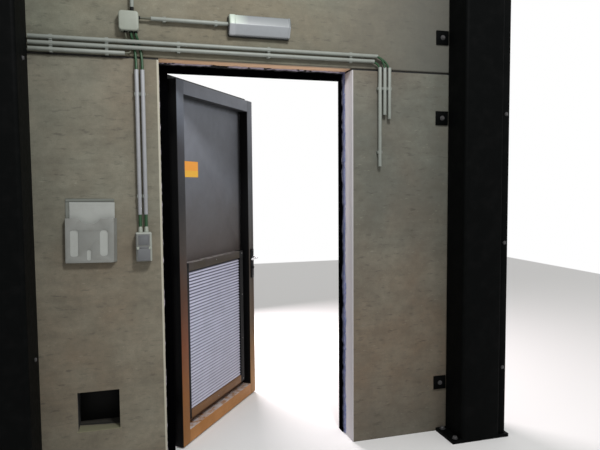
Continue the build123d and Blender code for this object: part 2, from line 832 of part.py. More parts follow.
with BuildPart() as cables:
    # from the box into the lowest horizontal conduit
    x = gland_columns[0]
    run_end = column_face + bottom_run_end
    cable([(x, conduit_y, gland_face), (x, conduit_y, gland_face - cable_lead),
           (x + run_cable_shifts[0], behind_y, run_level + run_cable_rise),
           (x + run_cable_shifts[1], behind_y, run_level - run_cable_drop),
           (x + run_cable_shifts[2], behind_y - run_cable_shifts[0],
            low_run + run_cable_shifts[0]),
           (x + run_cable_shifts[3], conduit_y, low_run),
           (run_end - cable_insert, conduit_y, low_run)], cable_radius)
    # from the box down behind the horizontal conduits to the switch
    for x, end in zip(gland_columns[1:], switch_columns):
        cable([(x, conduit_y, gland_face), (x, conduit_y, gland_face - cable_lead),
               ((x + end) / 2, behind_y, run_level + run_cable_rise),
               (end - corner_sag, behind_y, run_level - switch_cable_drop),
               (end, behind_y - cable_lead, switch_run_top + switch_cable_rise),
               (end, conduit_y, switch_run_top + cable_lead),
               (end, conduit_y, switch_run_top - cable_insert)], cable_radius)
    # out of the switch conduits into the glands of the switch box
    for x in switch_columns:
        cable([(x, conduit_y, switch_top + switch_gland_length),
               (x, conduit_y, switch_run_bottom + cable_insert)], cable_radius)
    # from the box's side to the lamp
    cable([(column_face + box_left + box_size + gland_length, conduit_y, lamp_run_level),
           (column_face + lamp_run_start + cable_insert, conduit_y, lamp_run_level)],
          cable_radius)
    # thin ones round the corner at the right, each lying against one side of the bores
    for row, column_index, side in ((0, 2, 1), (0, 1, -1), (1, 0, 1)):
        y = conduit_y + side * thin_lean
        start = column_face + run_ends[row]
        end = drop_columns[column_index]
        level = run_level - row * conduit_pitch
        cable([(start - cable_insert, y, level),
               (start + corner_bend_start * (end - start), y, level - corner_sag),
               (end - corner_bend_end * (end - start), y, (drop_top + level) / 2),
               (end, y, drop_top - cable_insert)], thin_cable_radius)
save(cables.part, "cables")

# Lamp: its upper half faces the room, its lower half turns down towards the floor
lamp_level = lamp_run_level - lamp_below_run
with BuildPart() as lamp_base:
    with BuildSketch(facing_wall()) as lamp_outline:
        with Locations((lamp_left + lamp_width / 2, lamp_level)):
            Rectangle(lamp_width, lamp_height)
            chamfer(lamp_outline.vertices(), lamp_base_corner)
    extrude(amount=lamp_base_depth)
save(lamp_base.part, "lamp_base")

with BuildPart() as lamp_cover:
    half = lamp_height / 2 - lamp_rim
    with BuildSketch(Plane(origin=(column_face + lamp_left + lamp_rim, wall_face, lamp_level),
                           x_dir=(0, -1, 0), z_dir=(1, 0, 0))) as lamp_section:
        with BuildLine():
            Polyline((lamp_base_depth, half), (lamp_top_depth, half), (lamp_depth, 0),
                     (lamp_foot_depth, -half), (lamp_base_depth, -half), close=True)
        make_face()
        fillet(lamp_section.vertices().group_by(Axis.Y)[0], lamp_round)
    extrude(amount=lamp_width - 2 * lamp_rim)
    chamfer(lamp_cover.faces().group_by(Axis.X)[0].edges(), lamp_end_chamfer)
save(lamp_cover.part, "lamp_cover")

# Switch over a socket, in one surface box
with BuildPart() as switch_box:
    with BuildSketch(facing_wall()):
        with Locations((switch_left + switch_width / 2, switch_bottom + switch_height / 2)):
            RectangleRounded(switch_width, switch_height, switch_corner)
    extrude(amount=switch_depth)
save(switch_box.part, "switch_box")

with BuildPart() as rocker:
    with BuildSketch(facing_wall(switch_depth)):
        with Locations((switch_left + switch_width / 2,
                        switch_bottom + switch_height - rocker_margin - rocker_height / 2)):
            Rectangle(switch_width - 2 * rocker_margin, rocker_height)
    extrude(amount=rocker_proud)
    chamfer(rocker.faces().sort_by(Axis.Y)[0].edges(), rocker_chamfer)
save(rocker.part, "switch_rocker")

with BuildPart() as socket_lid:
    with BuildSketch(facing_wall(switch_depth)):
        with Locations((switch_left + switch_width / 2,
                        switch_bottom + socket_lid_margin + socket_lid_height / 2)):
            Rectangle(switch_width - 2 * socket_lid_margin, socket_lid_height)
    extrude(amount=socket_lid_proud)
    chamfer(socket_lid.faces().sort_by(Axis.Y)[0].edges(), socket_lid_chamfer)
save(socket_lid.part, "socket_lid")

# Document pocket: a back plate with a tapered shell, a thumb notch and three windows
pocket_top = pocket_bottom + pocket_height


def pocket_shell(inset, level, height, mode):
    left = column_face + pocket_left + inset
    right = column_face + pocket_left + pocket_width - inset
    with BuildSketch(Plane.XY.offset(level)) as section:
        with BuildLine():
            Polyline((left, wall_face - inset), (right, wall_face - inset),
                     (right - pocket_taper_right, wall_face - pocket_depth + inset),
                     (left + pocket_taper_left, wall_face - pocket_depth + inset), close=True)
        make_face()
    extrude(section.sketch, amount=height, mode=mode)


with BuildPart() as pocket:
    pocket_shell(0, pocket_bottom, pocket_height, Mode.ADD)
    pocket_shell(pocket_wall, pocket_bottom + pocket_wall, pocket_height, Mode.SUBTRACT)
    with BuildSketch(facing_wall(pocket_depth)):
        notch_radius = (notch_half ** 2 + notch_depth ** 2) / (2 * notch_depth)
        with Locations((pocket_left + notch_middle, pocket_top - notch_depth + notch_radius)):
            Circle(notch_radius)
        for middle, width in windows:
            with Locations((pocket_left + middle,
                            pocket_bottom + window_foot + window_height / 2)):
                RectangleRounded(width, window_height, window_corner)
        with Locations((pocket_left + small_window_middle,
                        pocket_bottom + small_window_foot + small_window_height / 2)):
            RectangleRounded(small_window_width, small_window_height, window_corner)
    extrude(amount=-2 * pocket_wall, mode=Mode.SUBTRACT)
save(pocket.part, "document_pocket")

with BuildPart() as sheets:
    with BuildSketch(facing_wall(pocket_wall)):
        with Locations((pocket_left + folder_left + folder_width / 2,
                        pocket_bottom + pocket_wall + folder_height / 2)):
            Rectangle(folder_width, folder_height)
    extrude(amount=folder_thickness)
    with BuildSketch(facing_wall(pocket_wall + folder_thickness)):
        with Locations((pocket_left + sheet_left + sheet_width / 2,
                        pocket_bottom + pocket_wall + sheet_height / 2)):
            Rectangle(sheet_width, sheet_height)
    extrude(amount=sheet_stack)
save(sheets.part, "document_sheets")
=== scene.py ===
import json
import math
import random

import bmesh
import bpy
from mathutils import Matrix, Vector, noise

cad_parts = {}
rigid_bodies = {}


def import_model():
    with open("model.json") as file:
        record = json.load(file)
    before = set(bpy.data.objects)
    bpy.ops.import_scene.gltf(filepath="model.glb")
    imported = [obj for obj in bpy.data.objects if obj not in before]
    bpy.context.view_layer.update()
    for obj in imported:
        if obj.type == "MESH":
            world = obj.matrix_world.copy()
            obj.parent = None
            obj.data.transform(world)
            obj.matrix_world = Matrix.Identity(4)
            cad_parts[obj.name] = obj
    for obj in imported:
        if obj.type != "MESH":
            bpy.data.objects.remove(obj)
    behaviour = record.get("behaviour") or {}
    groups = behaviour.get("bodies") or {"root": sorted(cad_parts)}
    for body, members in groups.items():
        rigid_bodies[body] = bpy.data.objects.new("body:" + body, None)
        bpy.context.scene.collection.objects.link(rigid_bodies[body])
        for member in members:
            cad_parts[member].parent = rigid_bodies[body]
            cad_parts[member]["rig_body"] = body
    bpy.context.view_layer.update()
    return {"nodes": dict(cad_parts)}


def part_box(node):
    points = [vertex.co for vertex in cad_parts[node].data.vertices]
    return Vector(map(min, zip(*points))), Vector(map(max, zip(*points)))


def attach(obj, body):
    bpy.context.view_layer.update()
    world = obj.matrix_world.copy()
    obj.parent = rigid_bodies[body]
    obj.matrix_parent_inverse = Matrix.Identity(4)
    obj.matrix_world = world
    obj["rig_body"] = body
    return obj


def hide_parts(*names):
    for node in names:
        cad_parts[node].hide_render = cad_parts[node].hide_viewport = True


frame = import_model()
scene = bpy.context.scene
scene.view_settings.view_transform = "Standard"

# The photograph's viewpoint, in metres and degrees
viewpoint = {
    "place": (0.570, -2.8965, 1.4877),
    "yaw": 16.11,  # to the right of the wall's normal
    "pitch": 3.81,  # downwards
    "roll": -0.434,
    "focalPixels": 574.36,
    "imageWidth": 600,
    "sensor": 36.0,
}


def linked(name, data):
    made = bpy.data.objects.new(name, data)
    scene.collection.objects.link(made)
    return made


def makeCamera(view):
    yaw, pitch, roll = (math.radians(view[key]) for key in ("yaw", "pitch", "roll"))
    forward = Vector((math.sin(yaw) * math.cos(pitch), math.cos(yaw) * math.cos(pitch),
                      -math.sin(pitch)))
    level = Vector((math.cos(yaw), -math.sin(yaw), 0))
    upright = level.cross(forward)
    right = level * math.cos(roll) + upright * math.sin(roll)
    up = upright * math.cos(roll) - level * math.sin(roll)
    data = bpy.data.cameras.new("viewpoint")
    data.sensor_width = view["sensor"]
    data.lens = view["focalPixels"] / view["imageWidth"] * view["sensor"]
    camera = linked("viewpoint", data)
    turn = Matrix((right, up, -forward)).transposed().to_4x4()
    camera.matrix_world = Matrix.Translation(view["place"]) @ turn
    scene.camera = camera


makeCamera(viewpoint)
print("camera made")


def tint(red, green, blue):
    linear = [(c / 255 / 12.92) if c < 10.3 else ((c / 255 + 0.055) / 1.055) ** 2.4
              for c in (red, green, blue)]
    return (*linear, 1.0)


tones = {name: tint(*tone) for name, tone in {
    # concrete
    "upper": (108, 109, 94), "left": (110, 107, 94), "right": (80, 80, 75), "moss": (104, 110, 98),
    "brown": (116, 99, 80), "dark": (74, 71, 61), "pale": (150, 149, 134), "pore": (52, 50, 44),
    # painted light on the doorway edge and the reveal, and light off the ground on the soffit
    "doorEdgeLight": (176, 173, 158), "revealDaylight": (204, 202, 206), "soffit": (250, 205, 165),
    # painted shade in the cable opening and painted light on the front of its sill
    "holeShade": (8, 8, 7), "sill": (112, 110, 88),
    # steel
    "columnBlack": (4, 5, 5), "columnDust": (24, 24, 24), "jambBlack": (3, 3, 4),
    "jambDust": (16, 15, 15), "rust": (112, 66, 38), "leafDark": (44, 43, 45),
    # slat tone: painted shade under the slat above
    "leafDust": (128, 106, 84), "shelfDust": (188, 182, 182), "slatShade": (34, 36, 50),
    # corner tone: painted shadow under the top rail
    "leafOutdoors": (78, 80, 84), "cornerShade": (22, 24, 21), "railShade": (20, 20, 16),
    "zinc": (190, 190, 186), "zincDark": (120, 120, 120), "dull": (96, 96, 98),
    "dullDark": (60, 58, 56), "bright": (232, 232, 234), "brightDark": (196, 196, 198),
    "yellow": (222, 166, 8), "amber": (226, 146, 14), "chips": (120, 96, 50),
    # plastic, paper and foam
    "conduit": (122, 127, 121), "paleConduit": (138, 140, 143), "box": (122, 127, 117),
    # lamp end tones: painted highlights
    "diffuser": (140, 144, 148), "diffuserUpper": (100, 105, 107), "lampEndHighlight": (158, 160, 164),
    # switch margin tone: painted light
    "lampCornerHighlight": (160, 172, 160), "switch": (100, 102, 99), "switchMarginLight": (134, 138, 131),
    # lamp base tone: painted shade
    "switchDark": (88, 90, 92), "gland": (138, 144, 134), "lampBaseShade": (26, 28, 26),
    "pocket": (116, 118, 114), "green": (12, 58, 26), "olive": (66, 68, 54), "black": (10, 11, 13),
    "rubber": (24, 24, 24), "grime": (86, 80, 68), "paper": (150, 153, 149),
    "paperDark": (136, 136, 130), "folder": (98, 102, 95), "folderLine": (48, 52, 47),
    "foamShade": (8, 7, 9), "foam": (176, 168, 184), "foamBlue": (4, 22, 52),
    "foamSheen": (120, 130, 176),
}.items()}


# Shader maths: a wrapped socket takes part in plain expressions
class Channel:
    def __init__(self, finish, socket):
        self.finish = finish
        self.socket = socket

    def __add__(self, other):
        return self.finish.maths("ADD", self, other)

    __radd__ = __add__

    def __sub__(self, other):
        return self.finish.maths("SUBTRACT", self, other)

    def __rsub__(self, other):
        return self.finish.maths("SUBTRACT", other, self)

    def __mul__(self, other):
        return self.finish.maths("MULTIPLY", self, other)

    __rmul__ = __mul__


class Finish:
    def __init__(self, owner):
        owner.use_nodes = True
        self.tree = owner.node_tree

    def node(self, kind, values=None, output=0, **settings):  # a plain kind is a shader node
        made = self.tree.nodes.new(kind if "Node" in kind else "ShaderNode" + kind)
        for name, setting in settings.items():
            if name == "stops":  # position, red, green, blue
                marks = made.color_ramp.elements
                while len(marks) < len(setting):
                    marks.new(0.5)
                for mark, (position, *colour) in zip(marks, setting):
                    mark.position = position
                    mark.color = tint(*colour)
            else:
                setattr(made, name, setting)
        for name, value in (values or {}).items():
            self.feed(made.inputs[name], value)
        return Channel(self, made.outputs[output])

    def feed(self, target, value):  # a channel, a value or the name of a tone
        if isinstance(value, Channel):
            self.tree.links.new(value.socket, target)
        else:
            target.default_value = tones[value] if isinstance(value, str) else value

    def maths(self, operation, first, second):
        return self.node("Math", {0: first, 1: second}, operation=operation)

    def place(self, scale=(1, 1, 1), turn=(0, 0, 0)):
        spot = self.node("TexCoord", output="Object")
        return self.node("Mapping", {"Vector": spot, "Rotation": turn, "Scale": scale})

    def noise(self, scale, detail=3.0, rough=0.55, stretch=(1, 1, 1)):
        values = {"Vector": self.place(stretch), "Scale": scale, "Detail": detail}
        return self.node("TexNoise", {**values, "Roughness": rough})

    def cells(self, scale):
        return self.node("TexVoronoi", {"Vector": self.place(), "Scale": scale})

    def axis(self, name, turn=(0, 0, 0)):
        return self.node("SeparateXYZ", {"Vector": self.place(turn=turn)}, name)

    def between(self, value, low, high):
        values = {"Value": value, "From Min": low, "From Max": high}
        return self.node("MapRange", values, clamp=True)

    def span(self, name, start, stop):  # from 0 to 1 along an axis
        return self.between(self.axis(name), start, stop)

    def blend(self, factor, first, second):
        return self.node("Mix", {0: factor, 6: first, 7: second}, 2, data_type="RGBA")

    def speckled(self, colour, tone, amount, low, high, *grain):  # grain is what noise takes
        marks = self.between(self.noise(*grain), low, high)
        return self.blend(marks * amount, colour, tone)

    def relief(self, height, strength, distance):
        return self.node("Bump", {"Height": height, "Strength": strength, "Distance": distance})


# Even studio light, a white background and a pale floor
studio = {
    "fill": 0.62,
    "fillColour": (1.0, 0.99, 0.97, 1.0),
    "keyPower": 80.0,
    "keyColour": (1.0, 1.0, 1.0),
    "keySize": 0.5,
    "keyPlace": (1.5, -2.1, 3.7),
    "keyTarget": (0.8, 0.2, 1.2),
    "dayPower": 210.0,
    "dayColour": (1.0, 0.90, 0.92),
    "daySize": 1.8,
    "dayPlace": (0.95, 3.4, 1.9),
    "dayTarget": (1.65, 0.25, 1.3),
    "floorSize": 16.0,
    "floorColour": (0.80, 0.80, 0.80, 1.0),
    "floorRough": 0.9,
}


def makeStudio(sizes):
    world = bpy.data.worlds.new("studio")
    scene.world = world
    light = Finish(world)
    fill = light.tree.nodes["Background"]
    fill.inputs["Color"].default_value = sizes["fillColour"]
    fill.inputs["Strength"].default_value = sizes["fill"]
    white = light.node("Background", {"Color": (1, 1, 1, 1), "Strength": 1.0})
    seen = light.node("LightPath", output="Is Camera Ray")
    for ray in ("Is Glossy Ray", "Is Transmission Ray"):
        seen = seen + light.node("LightPath", output=ray)
    both = light.node("MixShader", {0: seen, 1: Channel(light, fill.outputs[0]), 2: white})
    light.feed(light.tree.nodes["World Output"].inputs["Surface"], both)

    for name in ("key", "day"):  # one from the room, one from outdoors
        lamp = bpy.data.lights.new(name, "AREA")
        lamp.energy = sizes[name + "Power"]
        lamp.size = sizes[name + "Size"]
        lamp.color = sizes[name + "Colour"]
        source = linked(name, lamp)
        source.location = sizes[name + "Place"]
        aim = Vector(sizes[name + "Target"]) - Vector(sizes[name + "Place"])
        source.rotation_euler = aim.to_track_quat("-Z", "Y").to_euler()

    half = sizes["floorSize"] / 2
    corners = [(-half, -half, 0), (half, -half, 0), (half, half, 0), (-half, half, 0)]
    mesh = bpy.data.meshes.new("floor")
    mesh.from_pydata(corners, [], [(0, 1, 2, 3)])
    pale = bpy.data.materials.new("pale floor")
    shader = Finish(pale).tree.nodes["Principled BSDF"]
    shader.inputs["Base Color"].default_value = sizes["floorColour"]
    shader.inputs["Roughness"].default_value = sizes["floorRough"]
    mesh.materials.append(pale)
    linked("floor", mesh)


makeStudio(studio)
print("studio made")


# The open leaf's own axes: x along it, y outdoors, z up
leafFrame = {"hinge": (0.7395, 0.368, 0.0), "angle": 53.7, "height": 2.1}
leafTurn = math.radians(leafFrame["angle"])
leafPlace = Matrix.Translation(leafFrame["hinge"]) @ Matrix.Rotation(leafTurn, 4, "Z")


def middleOf(node, axis):  # 0, 1 and 2 are x, y and z
    low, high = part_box(node)
    return (low[axis] + high[axis]) / 2


# Finishes; positions in them are metres in the frame's axes
finishes = {}


def steelRough(low, high):
    return lambda finish: finish.noise(30, 3, 0.6) * (high - low) + low


def orangePeel(strength):
    return lambda finish: finish.relief(finish.noise(320, 2, 0.5), strength, 0.0006)


def makeFinish(name, colour, rough, bump=orangePeel(0.2), metal=0.0, specular=None):
    material = bpy.data.materials.new(name)
    finish = Finish(material)
    shader = finish.tree.nodes["Principled BSDF"]
    finish.feed(shader.inputs["Base Color"], colour(finish))
    finish.feed(shader.inputs["Roughness"], rough(finish) if callable(rough) else rough)
    shader.inputs["Metallic"].default_value = metal
    if bump:
        finish.feed(shader.inputs["Normal"], bump(finish))
    if specular is not None:
        shader.inputs["Specular IOR Level"].default_value = specular
    finishes[name] = material


concreteMarks = [  # tone, amount, range, and the noise's scale, detail, roughness and stretch
    ("pale", 0.26, 0.42, 0.72, 3.4, 5, 0.62),  # clouds
    ("dark", 0.30, 0.50, 0.78, 5.0, 5, 0.62, (0.35, 0.35, 4.5)),  # streaks
    ("dark", 0.34, 0.40, 0.70, 13, 4, 0.65, (0.8, 0.8, 1.4)),  # blotches
    ("dark", 0.24, 0.42, 0.72, 26, 4, 0.7),  # mottle
    ("dark", 0.24, 0.3, 0.75, 160, 3, 0.7),  # grain
    ("pore", 0.48, 0.60, 0.74, 34, 3, 0.6, (0.45, 0.45, 1.8)),  # pits
]


def concreteColour(panel, edge, lights):
    def layers(finish):
        warm = finish.between(finish.noise(1.1, 4, 0.6), 0.40, 0.62)
        low = finish.span("Z", 1.7, 0.5)
        colour = finish.blend(warm * 0.40 + low * 0.35, panel, "brown")
        colour = finish.blend((1 - warm) * 0.30 * (1 - low * 0.7), colour, "moss")
        for marks in concreteMarks:
            colour = finish.speckled(colour, *marks)
        chalk = finish.between(finish.noise(38, 3, 0.6, (0.6, 0.6, 2.0)), 0.26, 0.34)
        colour = finish.blend((1 - chalk) * 0.20, colour, "pale")
        pores = finish.between(finish.cells(70), 0.02, 0.10)
        colour = finish.blend((1 - pores) * 0.6, colour, "pore")
        for axis, start, stop, tone, amount in lights:
            colour = finish.blend(finish.span(axis, start, stop) * amount, colour, tone)
        return edge(finish, colour) if edge else colour

    return layers


def paintedShadeInHole(finish, colour):  # the cable opening: painted shade makes it black inside, and painted light makes the front of its sill paler
    slant = (finish.axis("X") - 0.37) * 0.12
    depth = finish.axis("Y") + slant + (finish.noise(30, 2) - 0.5) * 0.01
    spot = finish.span("X", 0.262, 0.264) * finish.span("X", 0.480, 0.478)
    spot = spot * finish.span("Z", 0.247, 0.2485) * finish.span("Z", 0.460, 0.458)
    walls = finish.span("Z", 0.252, 0.254)
    sill = finish.between(depth, 0.222, 0.232) * (1 - finish.between(depth, 0.240, 0.250) * 0.15)
    sill = sill + finish.between(depth, 0.29, 0.36) * 0.3
    front = spot * (1 - walls) * (1 - finish.between(depth, 0.205, 0.228))
    # painted light: the front of the sill is paler
    colour = finish.blend(front, colour, "sill")
    # painted shade: black inside the opening, beyond the front of its sill
    shadeMask = walls * finish.span("Y", 0.152, 0.162) + (1 - walls) * sill
    return finish.blend(finish.between(spot * shadeMask, 0.0, 1.0), colour, "holeShade")


def doorSoffit(finish, colour):  # the edge over the doorway catches light off the ground
    under = finish.span("Z", 2.1505, 2.1485) * finish.span("Y", 0.16, 0.20)
    return finish.blend(under * 0.8, colour, "soffit")


def concreteRelief(finish):
    pores = finish.between(finish.cells(70), 0.0, 0.12)
    height = finish.noise(9, 4, 0.6) * 1.2 + finish.noise(160, 3, 0.7) * 0.35 + pores * 0.25
    return finish.relief(height, 0.55, 0.004)


concretes = {  # painted light and shade on the panels: axis, start and stop of a change, its tone, its amount
    # upper: painted shade, darker towards the right
    "upper": (doorSoffit, [("X", 1.35, 2.2, "right", 0.8)]),
    # left: painted light on the rounded doorway edge
    "left": (paintedShadeInHole, [("X", 0.697, 0.7000, "doorEdgeLight", 0.75)]),
    # right: painted daylight on the reveal of the doorway
    "right": (None, [("X", 1.7675, 1.7630, "revealDaylight", 0.85)]),
}
for panel, (edge, lights) in concretes.items():
    makeFinish("cast concrete " + panel, concreteColour(panel, edge, lights),
               lambda finish: finish.noise(40, 2) * 0.15 + 0.80, concreteRelief)


def paintedSteel(base, dust, amount):
    def layers(finish):
        colour = finish.speckled(base, dust, amount, 0.48, 0.80, 14, 4, 0.65)
        return finish.speckled(colour, dust, amount, 0.60, 0.82, 240, 2, 0.6)

    return layers


makeFinish("black column paint", paintedSteel("columnBlack", "columnDust", 0.25),
           steelRough(0.50, 0.70), orangePeel(0.25), specular=0.035)
makeFinish("black frame paint", paintedSteel("jambBlack", "jambDust", 0.20),
           steelRough(0.60, 0.80), orangePeel(0.25), specular=0.0)

# The leaf is grey above and brown towards the floor, partly dust and partly a painted reflection of warm
# light off the ground, with painted light making it paler towards the top: part of its height, red,
# green, blue
leafStops = {
    "hinge stile": [(0.0, 150, 106, 60), (0.05, 140, 94, 50), (0.13, 132, 84, 42),
                    (0.27, 112, 64, 38), (0.40, 78, 51, 36), (0.54, 60, 54, 50),
                    (0.675, 40, 41, 43), (0.81, 56, 57, 62), (0.90, 88, 93, 102),
                    (0.98, 112, 118, 128)],
    "lock stile": [(0.0, 150, 110, 66), (0.13, 122, 90, 54), (0.27, 84, 68, 50),
                   (0.40, 70, 62, 54), (0.54, 72, 70, 68), (0.675, 80, 82, 86),
                   (0.81, 104, 108, 114), (0.94, 132, 137, 146)],
    "rail": [(0.0, 172, 122, 74), (0.05, 152, 104, 58), (0.9, 124, 130, 140),
             (1.0, 138, 143, 153)],
    "skin": [(0.0, 96, 70, 52), (0.40, 74, 65, 60), (0.51, 80, 74, 72), (0.62, 90, 89, 91),
             (0.74, 102, 105, 112), (0.86, 118, 122, 130), (0.98, 140, 146, 156)],
    "louvre": [(0.0, 124, 88, 56), (0.08, 112, 80, 52), (0.2, 78, 60, 46), (0.48, 62, 56, 47),
               (0.52, 66, 60, 58)],
    "slat": [(0.0, 176, 174, 190), (0.30, 188, 190, 210), (0.5, 184, 184, 206)],
}


def leafSpan(finish, name, start, stop):  # along or across the leaf
    offset = Matrix.Rotation(-leafTurn, 4, "Z") @ Vector(leafFrame["hinge"])
    along = finish.axis(name, (0, 0, -leafTurn)) - getattr(offset, name.lower())
    return finish.between(along, start, stop)


def leafColour(stops, shadeSpans=(), dustAbove=None, dust=0.18):  # spans run along the leaf; shade spans are painted shade, black on the room side
    def layers(finish):
        wave = (finish.noise(5, 4, 0.6) - 0.5) * 0.10
        level = finish.axis("Z") * (1 / leafFrame["height"]) + wave
        colour = finish.node("ValToRGB", {"Fac": level}, stops=leafStops[stops])
        colour = finish.speckled(colour, "leafDark", 0.15, 0.35, 0.75, 9, 4, 0.65)
        colour = finish.speckled(colour, "leafDust", dust, 0.58, 0.78, 180, 3, 0.65)
        if dustAbove:
            low, high, top, amount = dustAbove
            shelf = finish.span("Z", low, high) * finish.span("Z", top, top - 0.001)
            lumps = finish.between(finish.noise(24, 3, 0.6), 0.34, 0.58)
            colour = finish.blend(shelf * lumps * amount, colour, "shelfDust")
        # painted shade: black on the returns and edges that lie in shade
        for start, stop in shadeSpans:
            roomward = leafSpan(finish, "Y", -0.0018, -0.0024)
            colour = finish.blend(leafSpan(finish, "X", start, stop) * roomward, colour, "jambBlack")
        return colour

    return layers


def slatColour(finish):  # painted shade towards the ridge, under the slat above
    depth = leafSpan(finish, "Y", -0.0355, -0.0300)
    return finish.blend(depth * 0.9, leafColour("slat", dust=0.10)(finish), "slatShade")


def skinColour(finish):  # painted shadow under the top rail and painted shade in its corner at the hinge; of one tone outdoors
    colour = leafColour("skin", [(0.885, 0.922), (0.0255, 0.0240)])(finish)
    outdoors = leafSpan(finish, "Y", -0.0020, -0.0012)
    colour = finish.blend(outdoors * 0.75, colour, "leafOutdoors")
    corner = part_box("leaf_top_rail")[0].z + (finish.noise(25, 3) - 0.5) * 0.012
    under = finish.between(finish.axis("Z") - corner, -0.030, -0.006)
    lip = leafSpan(finish, "X", 0.085, 0.070) * finish.span("Z", 2.080, 2.086)
    roomward = leafSpan(finish, "Y", -0.0018, -0.0024)
    return finish.blend((under * 0.8 + lip * 0.95) * roomward, colour, "cornerShade")


def topRailColour(finish):  # its underside is in shade
    under = leafSpan(finish, "Y", -0.0653, -0.0635) * finish.span("Z", 2.1, 2.09)
    return finish.blend(under * 0.9, leafColour("rail")(finish), "railShade")


leafPaints = {  # colour and specular level
    # the spans given to leafColour are painted shade
    "hinge stile": (leafColour("hinge stile", [(0.0275, 0.0262)]), 0.14),
    "lock stile": (leafColour("lock stile", [(0.9282, 0.9274)]), 0.14),
    "rail": (leafColour("rail", (), (0.0825, 0.0838, 0.1, 0.9)), 0.14),
    "louvre": (leafColour("louvre", [(0.8115, 0.8135), (0.1545, 0.1535)],
                          (1.0485, 1.0496, 1.1, 0.40)), 0.14),
    "skin": (skinColour, 0.14),
    "top rail": (topRailColour, 0.25),
}
for name, (colour, specular) in leafPaints.items():
    makeFinish(name + " paint", colour, steelRough(0.48, 0.72), orangePeel(0.3), specular=specular)
makeFinish("slat paint", slatColour, steelRough(0.38, 0.60), orangePeel(0.3))


def zincColour(finish):
    spangle = finish.between(finish.cells(120), 0.0, 0.6)
    colour = finish.blend(spangle, "zinc", "zincDark")
    return finish.speckled(colour, "rust", 0.3, 0.6, 0.8, 60, 3)


def coverColour(finish):  # painted shade where it closes the opening, as black as the opening
    return finish.blend(finish.span("Y", 0.3012, 0.3002), zincColour(finish), "holeShade")


makeFinish("cover plate", coverColour, steelRough(0.45, 0.65), specular=0.1)
makeFinish("zinc plate", zincColour, steelRough(0.28, 0.5), metal=0.85)
makeFinish("dull steel", lambda finish: finish.blend(finish.noise(40, 3), "dull", "dullDark"),
           steelRough(0.45, 0.65), None, 0.6, 0.3)
makeFinish("bright steel", lambda finish: finish.blend(finish.noise(20, 3), "bright", "brightDark"),
           steelRough(0.18, 0.34),
           lambda finish: finish.relief(finish.noise(400, 2, 0.5, (1, 1, 9)), 0.15, 0.0004), 0.9)


def mouldedPlastic(base, grime):
    def layers(finish):
        colour = finish.speckled(base, "grime", grime, 0.45, 0.85, 18, 4, 0.65)
        return finish.speckled(colour, "grime", grime, 0.62, 0.80, 300, 2, 0.6)

    return layers


plastics = {  # tone, grime, least and most roughness
    "conduit plastic": ("conduit", 0.35, 0.42, 0.60),
    "box plastic": ("box", 0.25, 0.40, 0.58),
    "pale conduit plastic": ("paleConduit", 0.20, 0.40, 0.58),
    "dark switch plastic": ("switchDark", 0.15, 0.35, 0.52),
    "gland plastic": ("gland", 0.20, 0.35, 0.52),
    # the lamp's base is painted dark as the shade beside and under the lamp
    "lamp base shade": ("lampBaseShade", 0.10, 0.60, 0.80),
    "pocket plastic": ("pocket", 0.25, 0.32, 0.50),
    "green sheath": ("green", 0.20, 0.40, 0.60),
    "olive sheath": ("olive", 0.30, 0.45, 0.65),
    "joint rubber": ("rubber", 0.30, 0.70, 0.90),
}
for name, (tone, grime, low, high) in plastics.items():
    makeFinish(name, mouldedPlastic(tone, grime), steelRough(low, high))
makeFinish("black plastic", mouldedPlastic("black", 0.06), steelRough(0.45, 0.65), specular=0.10)


def lampColour(finish):  # painted highlight on its left end, paler and greener at its upper left corner
    left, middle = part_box("lamp_cover")[0].x, middleOf("lamp_cover", 2)
    upper = finish.span("Z", middle - 0.002, middle + 0.004)
    colour = finish.blend(upper, mouldedPlastic("diffuser", 0.12)(finish), "diffuserUpper")
    corner = finish.span("X", left + 0.10, left + 0.015) * (upper * 0.8 + 0.2)
    edge = finish.span("X", left + 0.036, left + 0.026)
    bright = finish.blend(upper, "lampEndHighlight", "lampCornerHighlight")
    return finish.blend(corner + edge * (1 - corner) * 0.35, colour, bright)


def switchColour(finish):  # painted light makes its top and right margins paler
    right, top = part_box("switch_box")[1].x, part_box("switch_box")[1].z
    margins = finish.span("X", right - 0.010, right - 0.008)
    margins = margins + finish.span("Z", top - 0.009, top - 0.006)
    colour = mouldedPlastic("switch", 0.25)(finish)
    return finish.blend(finish.between(margins, 0.0, 1.0), colour, "switchMarginLight")


def folderColour(finish):  # darker along the sheets behind it and along its own edge
    lines = finish.span("Z", 1.4185, 1.4195) * finish.span("Z", 1.4265, 1.4250)
    lines = lines + finish.span("Z", 1.4345, 1.4352)
    return finish.blend(lines * 0.6, mouldedPlastic("folder", 0.2)(finish), "folderLine")


def enamelColour(finish):
    colour = finish.blend(finish.span("Z", 1.5872, 1.5882), "yellow", "amber")
    return finish.speckled(colour, "chips", 0.5, 0.66, 0.74, 120, 3, 0.7)


# painted shade deep in the seal behind ragged pale foam, and a painted reflection of blue light on its
# right leg
def foamColour(finish):
    crust = finish.between(finish.noise(11, 4, 0.6), 0.43, 0.48) * finish.span("Y", 0.280, 0.271)
    colour = finish.blend(crust, "foamShade", "foam")
    sheen = finish.blend(finish.span("Y", 0.292, 0.262), "foamBlue", "foamSheen")
    return finish.blend(finish.span("X", 1.735, 1.745) * 0.85, colour, sheen)


